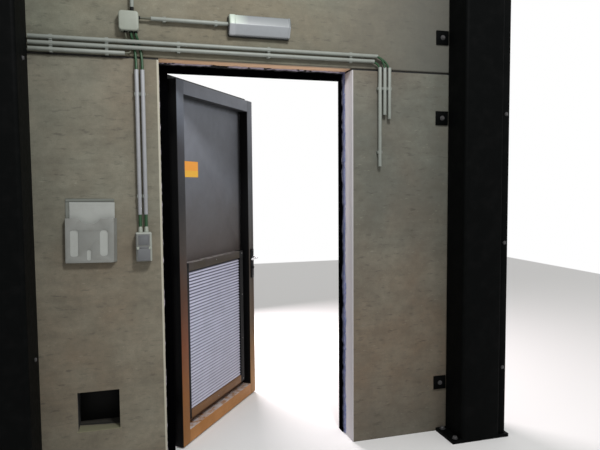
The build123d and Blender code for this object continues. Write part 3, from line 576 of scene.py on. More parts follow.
makeFinish("lamp diffuser", lampColour, steelRough(0.30, 0.45))
makeFinish("switch plastic", switchColour, steelRough(0.35, 0.52))
makeFinish("sheet paper",
           lambda finish: finish.speckled("paper", "paperDark", 0.35, 0.4, 0.8, 30, 3), 0.85,
           lambda finish: finish.relief(finish.noise(90, 3, 0.6), 0.25, 0.0008))
makeFinish("clear folder", folderColour, steelRough(0.15, 0.30), None)
makeFinish("yellow enamel", enamelColour, steelRough(0.30, 0.48), orangePeel(0.15))
makeFinish("seal foam", foamColour, 0.9,
           lambda finish: finish.relief(finish.noise(120, 4, 0.7), 0.8, 0.004))
print("finishes made:", len(finishes))


# Shared shape tools
def leafBox(node):  # a node's box in the leaf's own axes
    back = leafPlace.inverted()
    spots = [back @ vertex.co for vertex in frame["nodes"][node].data.vertices]
    return [Vector([pick(spot[axis] for spot in spots) for axis in range(3)])
            for pick in (min, max)]


def smoothed(mesh, angle=35):
    for face in mesh.polygons:
        face.use_smooth = True
    mesh.set_sharp_from_angle(angle=math.radians(angle))


def joined(name, meshes):
    shape = bmesh.new()
    for mesh in meshes:
        shape.from_mesh(mesh)
    return written(shape, bpy.data.meshes.new(name))


def addPiece(name, mesh, finishName, nodes=(), body="wall", smooth=None):
    if isinstance(mesh, list):  # several meshes make one piece
        mesh = joined(name, mesh)
    piece = linked(name, mesh)
    mesh.materials.clear()
    mesh.materials.append(finishes[finishName])
    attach(piece, body)
    if nodes:
        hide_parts(*nodes)
    if smooth:
        smoothed(mesh, smooth)


def plainMesh(rough):  # the object's evaluated shape; the object goes
    graph = bpy.context.evaluated_depsgraph_get()
    mesh = bpy.data.meshes.new_from_object(rough.evaluated_get(graph))
    rough.modifiers.clear()
    bpy.data.objects.remove(rough)
    return mesh


def bevelled(mesh, width, segments=2, angle=30):
    rough = linked("rough", mesh)
    if width:
        bevel = rough.modifiers.new("edges", "BEVEL")
        bevel.width = width
        bevel.segments = segments
        bevel.limit_method = "ANGLE"
        bevel.angle_limit = math.radians(angle)
    mesh = plainMesh(rough)
    smoothed(mesh)
    return mesh


def written(shape, mesh):
    shape.to_mesh(mesh)
    shape.free()
    return mesh


def ringMesh(name, rings):  # rings of equal length become one closed skin
    shape = bmesh.new()
    rows = [[shape.verts.new(spot) for spot in ring] for ring in rings]
    for first, second in zip(rows, rows[1:]):
        for i in range(len(first)):
            j = (i + 1) % len(first)
            shape.faces.new((first[i], first[j], second[j], second[i]))
    shape.faces.new(list(reversed(rows[0])))
    shape.faces.new(rows[-1])
    bmesh.ops.recalc_face_normals(shape, faces=shape.faces)
    return written(shape, bpy.data.meshes.new(name))


def inFrom(low, high, inset):
    return low + inset, high - inset


def around(count):
    return [math.tau * i / count for i in range(count)]


def within(span, part):  # part is kept between 0 and 1
    low, high = span
    return low + (high - low) * min(max(part, 0), 1)


# Folded, cast and moulded parts get their finish and the small rounded edges of the real ones
dressing = [  # finish, slot, width of the rounded edges, nodes
    ("black column paint", "black_steel", 0.0015, "left_base_plate right_base_plate"),
    ("black column paint", "black_steel", 0, "left_column right_column"),
    ("black column paint", "black_steel", 0.0015,
     "left_column_cap right_column_cap right_corner_strip panel_lugs"),
    ("cast concrete left", "concrete", 0.004, "left_lower_panel"),
    ("cast concrete right", "concrete", 0.004, "right_lower_panel"),
    ("cast concrete upper", "concrete", 0.004, "upper_panel"),
    ("joint rubber", "joint_rubber", 0.001, "panel_joint_strips"),
    ("cover plate", "cover_steel", 0.0008, "cable_opening_cover"),
    ("black frame paint", "door_frame_steel", 0.0012, "frame_left_jamb frame_right_jamb frame_head"),
    ("black frame paint", "hinge_steel", 0.0008, "frame_hinge_halves leaf_hinge_halves"),
    ("hinge stile paint", "door_steel", 0.0012, "leaf_hinge_stile"),
    ("lock stile paint", "door_steel", 0.0012, "leaf_lock_stile"),
    ("top rail paint", "door_steel", 0.0012, "leaf_top_rail"),
    ("rail paint", "door_steel", 0.0012, "leaf_bottom_rail"),
    ("skin paint", "door_steel", 0.0006, "leaf_skin"),
    ("louvre paint", "louvre_metal", 0.0008, "louvre_frame"),
    ("black plastic", "furniture_black", 0.0018, "inner_handle_plate outer_handle_plate"),
    ("zinc plate", "bright_steel", 0.0008, "lock_forend"),
    ("bright steel", "bright_steel", 0.0005, "lever_spindle"),
    ("conduit plastic", "conduit_grey", 0.0004,
     "conduit_top conduit_middle conduit_bottom right_conduits"),
    ("pale conduit plastic", "conduit_grey", 0.0004, "switch_conduits"),
    ("conduit plastic", "conduit_grey", 0.0004, "riser_conduit lamp_conduit"),
    ("conduit plastic", "clip_grey", 0.0008, "horizontal_clips vertical_clips"),
    ("box plastic", "box_plastic", 0.0015, "junction_box"),
    ("black plastic", "furniture_black", 0.0008, "box_glands"),
    # lamp base painted dark as shade
    ("lamp base shade", "lamp_body", 0.002, "lamp_base"),
    ("switch plastic", "switch_plastic", 0.006, "switch_box"),
]
wornEdges = {  # x and y of a panel's upright edge, and the width of its wear
    "left_lower_panel": (0.709, 0.150, 0.011),
    "right_lower_panel": (1.761, 0.150, 0.006),
}


def nodeMesh(node):
    mesh = frame["nodes"][node].data.copy()
    shape = bmesh.new()
    shape.from_mesh(mesh)
    bmesh.ops.remove_doubles(shape, verts=shape.verts, dist=2e-5)
    bmesh.ops.dissolve_limit(shape, angle_limit=math.radians(0.5), verts=shape.verts,
                             edges=shape.edges)
    if node in wornEdges:
        x, y, width = wornEdges[node]
        edges = [edge for edge in shape.edges
                 if all(abs(v.co.x - x) < 1e-4 and abs(v.co.y - y) < 1e-4 for v in edge.verts)]
        bmesh.ops.bevel(shape, geom=edges, offset=width, segments=3, profile=0.5, affect="EDGES")
    return written(shape, mesh)


for finishName, slotName, width, nodes in dressing:
    for node in nodes.split():
        addPiece(node + "_dressed", bevelled(nodeMesh(node), width), finishName, [node],
                 frame["nodes"][node]["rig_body"])
print("edges rounded")

# Cables between the conduits, on the routes of the CAD cables
cableSizes = {
    "radius": 0.0052,
    "greenRadius": 0.0066,
    "tailRadius": 0.0078,
    "thinRadius": 0.0056,
    "lampRadius": 0.0062,
    "conduitRadius": 0.010,
    "glands": (0.030, 0.057, 0.080),  # from the junction box's left side
    "lead": 0.012,  # straight length out of a gland
    "behind": 0.143,  # axis where a cable passes behind the conduits
    "apart": 0.0042,  # of two cables in one conduit, off its axis
    "rounds": 4,
}


def cableMesh(name, route, radius):
    curve = bpy.data.curves.new(name, "CURVE")
    curve.dimensions = "3D"
    spline = curve.splines.new("NURBS")
    spline.points.add(len(route) - 1)
    for point, spot in zip(spline.points, route):
        point.co = (*spot, 1.0)
    spline.order_u = min(3, len(route))
    spline.use_endpoint_u = True
    spline.resolution_u = 10
    curve.bevel_depth = radius
    curve.bevel_resolution = cableSizes["rounds"]
    curve.use_fill_caps = True
    return plainMesh(linked(name, curve))


def makeCables(sizes):
    level = {name: middleOf("conduit_" + name, 2) for name in ("top", "middle", "bottom")}
    ends = {name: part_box("conduit_" + name)[1].x for name in level}
    axis, pipe = middleOf("conduit_top", 1), sizes["conduitRadius"]
    lead, behind, run = sizes["lead"], sizes["behind"], level["top"]
    boxLow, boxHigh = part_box("junction_box")
    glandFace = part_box("box_glands")[0].z
    glands = [boxLow.x + offset for offset in sizes["glands"]]
    start, low = glands[0], level["bottom"]
    dark = [cableMesh("run", [
        (start, axis, glandFace), (start, axis, glandFace - lead), (start + 0.009, behind, run + 0.005),
        (start + 0.021, behind, run - 0.028), (start + 0.023, behind - 0.009, low + 0.009),
        (start + 0.011, axis, low), (ends["bottom"] - lead, axis, low)], sizes["radius"])]

    green = []
    switchLow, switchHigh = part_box("switch_conduits")
    top, foot, tail = switchHigh.z, switchLow.z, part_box("switch_glands")[1].z
    for start, end in zip(glands[1:], (switchLow.x + pipe, switchHigh.x - pipe)):
        green.append(cableMesh("down", [
            (start, axis, glandFace), (start, axis, glandFace - lead),
            ((start + end) / 2, behind, run + 0.005), (end - 0.002, behind, run - 0.063),
            (end, behind - 0.012, top + 0.033), (end, axis, top + 0.012), (end, axis, top - lead)],
            sizes["greenRadius"]))
        green.append(cableMesh("tail", [(end, axis, z) for z in (tail, foot - 0.025, foot + lead)],
                               sizes["tailRadius"]))

    lampLevel, lampStart = middleOf("lamp_conduit", 2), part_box("lamp_conduit")[0].x
    stations = (boxHigh.x + 0.008, lampStart - 0.02, lampStart + lead)
    dark.append(cableMesh("lamp", [(x, axis, lampLevel) for x in stations], sizes["lampRadius"]))

    dropLow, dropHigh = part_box("right_conduits")
    drops = (dropHigh.x - pipe, 1), ((dropLow.x + dropHigh.x) / 2, -1), (dropLow.x + pipe, 1)
    for name, (end, side) in zip(("top", "top", "middle"), drops):
        start, high, y = ends[name], level[name], axis + side * sizes["apart"]
        green.append(cableMesh("corner", [
            (start - lead, y, high), (start + 0.24 * (end - start), y, high - 0.006),
            (end - 0.16 * (end - start), y, dropHigh.z * 0.6 + high * 0.4),
            (end, y, dropHigh.z - lead)], sizes["thinRadius"]))

    for name, cables, sheath in (("green_cables", green, "green sheath"),
                                 ("dark_cables", dark, "olive sheath")):
        addPiece(name, cables, sheath, ["cables"], smooth=35)


makeCables(cableSizes)
print("cables made")

# Ragged foam that seals the door frame to the concrete
foamSizes = {
    "reach": (0.020, 0.046),  # along the concrete, least and most
    "thickness": (0.004, 0.011),
    "section": ((0, 0), (0, 1), (0.35, 1), (0.75, 0.75), (1, 0.35), (1, 0)),  # reach, thickness
    "corner": 0.012,  # where one side turns into the next
    "foot": 0.001,
    "gap": 0.0002,
    "step": 0.006,
    "seed": 7,
}


def makeFoam(sizes):
    low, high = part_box("frame_seal")
    wander = random.Random(sizes["seed"])
    offset = Vector((wander.uniform(0, 50), wander.uniform(0, 50), wander.uniform(0, 50)))
    foot, gap, bend = low.z + sizes["foot"], sizes["gap"], sizes["corner"]
    corners = [Vector((x, 0, z)) for x, z in ((low.x, foot), (low.x, high.z), (high.x, high.z),
                                              (high.x, foot))]
    inwards = [Vector((1, 0, 0)), Vector((0, 0, -1)), Vector((-1, 0, 0))]
    rings = []
    for leg, (start, end) in enumerate(zip(corners, corners[1:])):
        count = int((end - start).length / sizes["step"])
        for step in range(count):
            spot = start.lerp(end, step / count)
            near = min((spot - start).length, (end - spot).length)
            turn = inwards[leg].copy()
            if near < bend and ((leg > 0 and step < count / 2) or (leg < 2 and step > count / 2)):
                other = inwards[leg - 1] if step < count / 2 else inwards[leg + 1]
                turn = turn.lerp(other, 0.5 * (1 - near / bend)) * (1 + 0.3 * (1 - near / bend))
            place = spot + offset
            fine = noise.noise(place * 60) * 0.6 + noise.noise(place * 160) * 0.4
            reach = within(sizes["reach"], 0.55 + 0.45 * noise.noise(place * 9) + 0.55 * fine)
            lump = 0.5 + 0.7 * noise.noise(place * 34 + Vector((0, 9, 0)))
            thick = within(sizes["thickness"], lump)
            rings.append([
                spot + turn * (thick * out + gap) + Vector((0, high.y - gap - reach * along, 0))
                for along, out in sizes["section"]])
    addPiece("frame_foam", ringMesh("foam", rings), "seal foam", ["frame_seal"], smooth=60)


makeFoam(foamSizes)
print("foam made")

# Document pocket: a moulded shell with a thumb notch and three windows
pocketSizes = {
    "wall": 0.0025,
    "front": 0.118,
    "gap": 0.0002,
    "tilt": 1.1,
    "taperLeft": 0.0005,  # front narrower than the back
    "taperRight": 0.014,
    "trimRight": 0.008,
    "taperFoot": 0.002,
    "corner": 0.006,
    "notchCentre": 0.355,
    "notchHalf": 0.050,
    "notchDepth": 0.030,
    "windows": ((0.2644, 0.3017, 1.150, 1.282, 0.012), (0.4028, 0.4415, 1.150, 1.282, 0.018),
                (0.3416, 0.3606, 1.1296, 1.184, 0.009)),  # sides, foot and top, corner radius
    "edges": (0.0007, 0.0006),  # rounding of the face and of the back plate
    "arcSteps": 8,
}


def arcPoints(centreX, centreZ, radius, start, end, steps):
    turns = [math.radians(start + (end - start) * i / steps) for i in range(steps + 1)]
    return [(centreX + radius * math.cos(t), centreZ + radius * math.sin(t)) for t in turns]


def flatPlate(name, outline, holes, front, thickness):  # outline in x and z, given from the room
    curve = bpy.data.curves.new(name, "CURVE")
    curve.dimensions = "2D"
    curve.fill_mode = "BOTH"
    curve.extrude = thickness / 2
    for loop in [outline, *holes]:
        spline = curve.splines.new("POLY")
        spline.points.add(len(loop) - 1)
        for point, (x, z) in zip(spline.points, loop):
            point.co = (x, z, 0, 1)
        spline.use_cyclic_u = True
    mesh = plainMesh(linked(name, curve))
    upright = Matrix.Rotation(math.pi / 2, 4, "X")
    mesh.transform(Matrix.Translation((0, front + thickness / 2, 0)) @ upright)
    shape = bmesh.new()
    shape.from_mesh(mesh)
    bmesh.ops.remove_doubles(shape, verts=shape.verts, dist=1e-5)
    bmesh.ops.recalc_face_normals(shape, faces=shape.faces)
    return written(shape, mesh)


def lowerArcs(x0, x1, z0, radius, steps):
    return (arcPoints(x0 + radius, z0 + radius, radius, 180, 270, steps)
            + arcPoints(x1 - radius, z0 + radius, radius, 270, 360, steps))


def roundedLoop(x0, x1, z0, z1, radius, steps):
    return (arcPoints(x1 - radius, z1 - radius, radius, 0, 90, steps)
            + arcPoints(x0 + radius, z1 - radius, radius, 90, 180, steps)
            + lowerArcs(x0, x1, z0, radius, steps))


def hungCrooked(mesh):  # the pocket hangs lower at its right
    low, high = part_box("document_pocket")
    centre = Matrix.Translation((low + high) / 2)
    tilt = Matrix.Rotation(math.radians(pocketSizes["tilt"]), 4, "Y")
    mesh.transform(centre @ tilt @ centre.inverted())
    return mesh


def pocketRim(sizes, sides, top, inset, y):  # side walls and foot, taken from their outside
    left, right, foot = sides[0] + inset, sides[1] - inset, sides[2] + inset
    arcs = lowerArcs(left, right, foot, sizes["corner"] - inset, sizes["arcSteps"])
    return [Vector((x, y, z)) for x, z in [(left, top), *arcs, (right, top)]]


def makePocket(sizes):
    low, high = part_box("document_pocket")
    front, wall, gap, steps = sizes["front"], sizes["wall"], sizes["gap"], sizes["arcSteps"]
    back, top, corner = high.y - gap, high.z, sizes["corner"]
    rear = (low.x, high.x - sizes["trimRight"], low.z)  # sides and foot of the back and the face
    face = (rear[0] + sizes["taperLeft"], rear[1] - sizes["taperRight"], low.z + sizes["taperFoot"])
    half, depth = sizes["notchHalf"], sizes["notchDepth"]
    radius = (half * half + depth * depth) / (2 * depth)
    spread = math.degrees(math.asin(half / radius))
    notch = arcPoints(sizes["notchCentre"], top - depth + radius, radius, 270 + spread,
                      270 - spread, 14)
    outline = [(face[1], top), *notch, (face[0], top), *lowerArcs(*face, corner, steps)]
    windows = [roundedLoop(*window, steps) for window in sizes["windows"]]
    faceEdge, backEdge = sizes["edges"]
    shell = [bevelled(flatPlate("face", outline, windows, front, wall), faceEdge)]
    outline = roundedLoop(rear[0], rear[1], rear[2], top, corner, steps)
    shell.append(bevelled(flatPlate("back", outline, [], back - wall, wall), backEdge))
    rims = [pocketRim(sizes, sides, top, inset, y) for sides, inset, y in (
        (face, 0.0, front + gap), (rear, 0.0, back - wall), (rear, wall, back - wall),
        (face, wall, front + gap))]
    shell.append(ringMesh("skirt", list(zip(*rims))))
    addPiece("pocket_shell", hungCrooked(joined("pocket", shell)),
             "pocket plastic", ["document_pocket"], smooth=30)


makePocket(pocketSizes)

# Sheets in the pocket: a folder behind, a stack in front, each sheet slightly out of line
sheetSizes = {
    "folder": (0.2420, 0.4700, 1.1195, 1.4365),
    "folderDepth": 0.1452,
    "folderThickness": 0.0016,
    "stack": (0.2615, 0.4735, 1.1210, 1.4180),
    "stackDepth": 0.1440,
    "stackStep": 0.0010,
    "curl": 0.0006,
    "frontDrop": 0.015,  # the front sheet stands lower
    "card": (0.2500, 0.4600, 1.1230, 1.2900),  # behind the windows
    "cardDepth": 0.1208,
    "thickness": 0.0007,
    "count": 4,
    "seed": 3,
    "grid": (16, 20),
}


def bentSheet(name, outline, y, thickness, curl=0.0, slant=0.0):
    x0, x1, z0, z1 = outline
    columns, rows = sheetSizes["grid"]
    rings = []
    for row in range(rows + 1):
        z = z0 + (z1 - z0) * row / rows
        ring = []
        for side in (0, 1):
            order = range(columns + 1) if side == 0 else range(columns, -1, -1)
            for column in order:
                u = column / columns
                bow = 0.6 + 0.4 * math.cos(2.4 * (u - 0.4))
                lift = curl * max(0, (row / rows - 0.68)) ** 2 * 9 * bow
                x = x0 + (x1 - x0) * u + slant * row / rows
                ring.append(Vector((x, y - lift + side * thickness, z)))
        rings.append(ring)
    return ringMesh(name, rings)


def makeSheets(sizes):
    wander = random.Random(sizes["seed"])
    folder = bentSheet("folder", sizes["folder"], sizes["folderDepth"], sizes["folderThickness"])
    addPiece("pocket_folder", hungCrooked(folder), "clear folder",
             ["document_sheets"], smooth=40)
    x0, x1, z0, z1 = sizes["stack"]
    leaves = []
    for sheet in range(sizes["count"]):
        dx, dz = wander.uniform(-0.0012, 0.0012), wander.uniform(-0.0012, 0.0008)
        drop = sizes["frontDrop"] if sheet == sizes["count"] - 1 else 0.0
        leaves.append(bentSheet("sheet", (x0 + dx, x1 + dx, z0, z1 + dz - drop),
                                sizes["stackDepth"] - sheet * sizes["stackStep"], sizes["thickness"],
                                sizes["curl"] * sheet, wander.uniform(-0.0006, 0.0006)))
    leaves.append(bentSheet("card", sizes["card"], sizes["cardDepth"], sizes["thickness"]))
    addPiece("pocket_sheets", hungCrooked(joined("sheets", leaves)), "sheet paper",
             ["document_sheets"], smooth=40)


makeSheets(sheetSizes)
print("pocket made")

# Bare two-tone plate on the leaf, without words or signs
plateSizes = {
    "outline": (0.1885, 0.3510, 1.5493, 1.6426),  # along the leaf and upwards
    "thickness": 0.0008,
    "corner": 0.004,
    "edge": 0.0002,
    "gap": 0.0001,
}


def makePlate(sizes):
    skinFace = leafBox("louvre_frame")[1].y  # the louvre stands on the skin
    loop = roundedLoop(*sizes["outline"], sizes["corner"], 4)
    thickness = sizes["thickness"]
    mesh = flatPlate("plate", loop, [], skinFace - thickness - sizes["gap"], thickness)
    mesh.transform(leafPlace)
    addPiece("bare_plate", bevelled(mesh, sizes["edge"], 1), "yellow enamel",
             body="door")


makePlate(plateSizes)
print("plate made")

# Lamp: end caps with a prismatic diffuser between them
lampSizes = {
    "leftCap": 0.033,
    "rightCap": 0.014,
    "capRound": 0.0065,
    "inset": 0.0016,  # diffuser behind the caps
    "lap": 0.002,  # diffuser into the caps
    "foot": (0.0180, 0.036),  # out from the wall: base, lower edge
    "top": 0.050,
    "crease": 0.064,
    "rounds": (0.012, 0.009, 0.007),
    "steps": 5,
    "ribs": 22,
    "ribDepth": 0.0005,
}


def roundedPath(corners, steps):  # corners are (x, y, radius)
    path = []
    for i, (x, y, radius) in enumerate(corners):
        spot = Vector((x, y))
        if not radius:
            path.append(spot)
            continue
        before = (Vector(corners[i - 1][:2]) - spot).normalized()
        after = (Vector(corners[(i + 1) % len(corners)][:2]) - spot).normalized()
        half = before.angle(after) / 2
        reach = radius / math.tan(half)
        start, end = spot + before * reach, spot + after * reach
        centre = spot + (before + after).normalized() * (radius / math.sin(half))
        for step in range(steps + 1):
            away = (start - centre).lerp(end - centre, step / steps).normalized() * radius
            path.append(centre + away)
    return path


def lampSection(sizes, inset, x):
    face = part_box("lamp_base")[1].y
    low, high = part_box("lamp_cover")
    middle = (low.z + high.z) / 2
    half = (high.z - low.z) / 2 - inset
    base, foot = sizes["foot"]
    lower, crease, upper = sizes["rounds"]
    corners = [(base, half, 0), (sizes["top"] - inset, half, upper),
               (sizes["crease"] - inset, 0, crease), (foot - inset, -half, lower), (base, -half, 0)]
    path = roundedPath(corners, sizes["steps"])
    return [Vector((x, face - out, middle + up)) for out, up in path]


def makeLamp(sizes):
    low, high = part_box("lamp_cover")
    left, right = low.x + sizes["leftCap"], high.x - sizes["rightCap"]
    caps = [ringMesh("cap", [lampSection(sizes, 0, x) for x in span])
            for span in ((low.x, left), (right, high.x))]
    caps = [bevelled(cap, sizes["capRound"], 4, 50) for cap in caps]
    addPiece("lamp_caps", caps, "lamp diffuser", ["lamp_cover"], smooth=40)
    rings = []
    lap, count = sizes["lap"], sizes["ribs"] * 2
    for step in range(count + 1):
        x = left - lap + (right - left + 2 * lap) * step / count
        rings.append(lampSection(sizes, sizes["inset"] + step % 2 * sizes["ribDepth"], x))
    addPiece("lamp_diffuser", ringMesh("diffuser", rings), "lamp diffuser",
             ["lamp_cover"], smooth=40)


makeLamp(lampSizes)
print("lamp made")


def faceLoop(node, inset, radius, steps):  # round a node, as seen from the room
    low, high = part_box(node)
    return roundedLoop(low.x + inset, high.x - inset, low.z + inset, high.z - inset, radius, steps)


def prism(name, outline, y0, y1, tilt=0.0):  # tilt brings the upper edge nearer
    low, high = min(z for x, z in outline), max(z for x, z in outline)
    front = [Vector((x, y0 - tilt * (z - low) / (high - low), z)) for x, z in outline]
    back = [Vector((x, y1, z)) for x, z in outline]
    return ringMesh(name, [front, back])


# Junction box lid: domed, with generous corners
boxLidSizes = {
    "corner": 0.016,
    "round": 0.006,
}


def makeBoxLid(sizes):
    low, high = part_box("junction_box_lid")
    lid = prism("lid", faceLoop("junction_box_lid", 0, sizes["corner"], 6), low.y, high.y)
    addPiece("box_lid", bevelled(lid, sizes["round"], 4, 50), "box plastic",
             ["junction_box_lid"], smooth=40)


makeBoxLid(boxLidSizes)

# Switch: a rocker in its frame over a hinged socket lid, and two tapered glands
switchSizes = {
    "frame": 0.0045,  # rim round the rocker
    "frameProud": 0.0032,
    "frameCorners": (0.004, 0.002),  # outside and inside
    "gap": 0.0006,
    "rockerCorner": 0.0015,
    "rockerSteps": (0.0048, 0.0026),  # rocker proud at its top and foot
    "lidProud": 0.0068,
    "lidSlope": 0.0022,
    "lidCorner": 0.005,
    "lidDrop": 0.005,
    "lipWidth": 0.020,
    "lipLevels": (0.0008, 0.0068),  # above the lid's foot
    "barrel": 0.0034,
    "barrelSides": 16,
    "ear": 0.0075,
    "earOut": 0.005,  # ears wider than the flap
    "earDrop": 0.006,
    "edges": {"frame": 0.0006, "rocker": 0.0007, "lid": 0.0018, "lip": 0.0006, "rod": 0.0003,
              "ear": 0.0012},
    "gland": ((0.0110, 0.0), (0.0110, 0.007), (0.0100, 0.0085), (0.0096, 0.022),
              (0.0080, 0.0265), (0.0068, 0.0280)),  # radius and level
    "glandRib": ((0.0018, 0.007), (0.0012, 0.020)),
    "glandRibRing": 0.0088,
    "glandRibs": 10,
}


def turned(name, centre, rings, sides):  # rings are (radius, level), round a vertical axis
    return ringMesh(name, [[Vector((centre.x + radius * math.cos(t), centre.y + radius * math.sin(t),
                                    centre.z + level)) for t in around(sides)]
                           for radius, level in rings])


def makeRocker(sizes):
    back, rim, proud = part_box("switch_rocker")[1].y, sizes["frame"], sizes["frameProud"]
    outside, inside = sizes["frameCorners"]
    outer = faceLoop("switch_rocker", 0, outside, 4)
    inner = faceLoop("switch_rocker", rim, inside, 4)
    collar = bevelled(flatPlate("collar", outer, [inner], back - proud, proud),
                      sizes["edges"]["frame"])
    top, foot = sizes["rockerSteps"]
    key = faceLoop("switch_rocker", rim + sizes["gap"], sizes["rockerCorner"], 3)
    key = bevelled(prism("key", key, back - foot, back, top - foot), sizes["edges"]["rocker"])
    addPiece("rocker_key", [collar, key], "dark switch plastic",
             ["switch_rocker"], smooth=40)


def makeSocket(sizes):
    low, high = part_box("socket_lid")
    back, barrel, edges = high.y, sizes["barrel"], sizes["edges"]
    face, slope, foot = back - sizes["lidProud"], sizes["lidSlope"], low.z - sizes["lidDrop"]
    lid = roundedLoop(low.x, high.x, foot, high.z - 2 * barrel - sizes["gap"], sizes["lidCorner"], 4)
    lid = bevelled(prism("lid", lid, face + slope, back, slope), edges["lid"])
    middle, half = (low.x + high.x) / 2, sizes["lipWidth"] / 2
    under, over = sizes["lipLevels"]
    lip = roundedLoop(middle - half, middle + half, foot + under, foot + over, 0.002, 3)
    lip = bevelled(prism("lip", lip, face + 0.0002, back - 0.002), edges["lip"])
    axis = Vector((0, back - barrel, high.z - barrel))
    rod = [[Vector((x, axis.y + barrel * math.sin(t), axis.z + barrel * math.cos(t)))
            for t in around(sizes["barrelSides"])] for x in inFrom(low.x, high.x, sizes["ear"])]
    rod = bevelled(ringMesh("rod", rod), edges["rod"])
    addPiece("socket_flap", [lid, lip, rod], "dark switch plastic",
             ["socket_lid"], smooth=40)
    ears = []
    width = sizes["ear"] + sizes["earOut"] - 0.0004
    for x in (low.x - sizes["earOut"], high.x - sizes["ear"] + 0.0004):
        ear = roundedLoop(x, x + width, high.z - 2 * barrel - sizes["earDrop"], high.z, 0.002, 3)
        ears.append(bevelled(prism("ear", ear, back - 2 * barrel, back), edges["ear"]))
    addPiece("socket_ears", ears, "gland plastic", ["socket_lid"], smooth=40)


def makeGlands(sizes):
    foot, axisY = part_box("switch_glands")[0].z, middleOf("switch_glands", 1)
    left, right = (box.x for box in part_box("switch_conduits"))
    away, cones = sizes["glandRibRing"], []
    for x in inFrom(left, right, cableSizes["conduitRadius"]):
        spot = Vector((x, axisY, foot))
        cones.append(turned("cone", spot, sizes["gland"], 24))
        for a in around(sizes["glandRibs"]):
            beside = spot + Vector((away * math.cos(a), away * math.sin(a), 0))
            cones.append(turned("rib", beside, sizes["glandRib"], 8))
    addPiece("gland_cones", cones, "gland plastic", ["switch_glands"],
             smooth=40)


makeRocker(switchSizes)
makeSocket(switchSizes)
makeGlands(switchSizes)
print("switch made")

# Levers: a neck that bends into a rounded grip
leverSizes = {
    "neck": 0.0082,
    "neckInset": 0.009,
    "grip": (0.0083, 0.0053),  # half height and half thickness
    "tip": (0.0068, 0.0046),
    "tipGap": 0.0006,
    "bend": 0.013,
    "parts": (0.15, 0.4, 0.7, 0.88, 0.955, 0.985, 1.0),  # of the grip's length
    "tapered": 0.7,
    "closing": 0.88,
    "leastClose": 0.12,
    "squareness": 0.8,
    "sides": 20,
    "steps": 12,
}


def makeLever(name, node, side, sizes):
    low, high = leafBox(node)
    neck, grip, tip, bend = (sizes[key] for key in ("neck", "grip", "tip", "bend"))
    root = high.y if side > 0 else low.y  # neck starts at the furniture plate
    crest = low.y + grip[1] if side > 0 else high.y - grip[1]
    level = (low.z + high.z) / 2
    neckX, tipX = high.x - sizes["neckInset"], low.x + sizes["tipGap"]
    reach = crest - root
    turnStart = crest - math.copysign(bend, reach)
    stations = [(Vector((neckX, y, level)), 90, neck, neck) for y in (root, turnStart)]
    for step in range(1, sizes["steps"] + 1):
        part = step / sizes["steps"]
        angle = math.radians(90 * (1 - part))
        spot = Vector((neckX - bend * (1 - math.sin(angle)),
                       turnStart + math.copysign(bend * math.cos(angle), reach), level))
        stations.append((spot, math.degrees(angle), *(within((neck, size), part) for size in grip)))
    start, closing = neckX - bend, sizes["closing"]
    for part in sizes["parts"]:
        close = math.sqrt(max(0.0, 1 - ((part - closing) / (1 - closing)) ** 2)) if part > closing else 1
        tall, thick = (within(span, part / sizes["tapered"]) * max(close, sizes["leastClose"])
                       for span in zip(grip, tip))
        stations.append((Vector((start + (tipX - start) * part, crest, level)), 0, tall, thick))
    power = sizes["squareness"]
    section = [[math.copysign(abs(c) ** power, c) for c in (math.cos(a), math.sin(a))]
               for a in around(sizes["sides"])]
    rings = []
    for spot, angle, tall, thick in stations:
        turn = math.radians(angle)
        across = Vector((math.sin(turn), math.copysign(math.cos(turn), reach), 0))
        rings.append([spot + across * (out * thick) + Vector((0, 0, up * tall))
                      for out, up in section])
    mesh = ringMesh(name, rings)
    mesh.transform(leafPlace)
    addPiece(name, mesh, "bright steel", [node], "handle", 60)


makeLever("inner_grip", "inner_lever", 1, leverSizes)
makeLever("outer_grip", "outer_lever", -1, leverSizes)
print("levers made")


# A Geometry Nodes tree with named inputs, written like a finish
class Growth(Finish):
    def __init__(self, name, inputs):
        self.tree = bpy.data.node_groups.new(name, "GeometryNodeTree")
        face = self.tree.interface
        for label, kind in inputs.items():
            face.new_socket(label, in_out="INPUT", socket_type="NodeSocket" + kind)
        face.new_socket("Geometry", in_out="OUTPUT", socket_type="NodeSocketGeometry")
        start = self.tree.nodes.new("NodeGroupInput")
        self.given = {label: Channel(self, start.outputs[label]) for label in inputs}
        self.end = self.tree.nodes.new("NodeGroupOutput")

    def lifted(self, shape, height):
        up = self.node("CombineXYZ", {"Z": height})
        return self.node("GeometryNodeTransform", {"Geometry": shape, "Translation": up})

    def strayed(self, least, most):
        values = {2: least, 3: most, "Seed": self.given["Seed"]}
        return self.node("FunctionNodeRandomValue", values, 1, data_type="FLOAT")

    def finish(self, shape):
        solid = self.node("GeometryNodeRealizeInstances", {"Geometry": shape})
        values = {"Geometry": solid, "Material": self.given["Material"]}
        self.feed(self.end.inputs[0], self.node("GeometryNodeSetMaterial", values))


def grown(name, spots, growth, values):
    mesh = bpy.data.meshes.new(name)
    mesh.from_pydata([tuple(spot) for spot in spots], [], [])
    rough = linked(name, mesh)
    modifier = rough.modifiers.new("growth", "NODES")
    modifier.node_group = growth.tree
    for entry in growth.tree.interface.items_tree:
        if entry.in_out == "INPUT" and entry.name in values:
            modifier[entry.identifier] = values[entry.name]
    return plainMesh(rough)


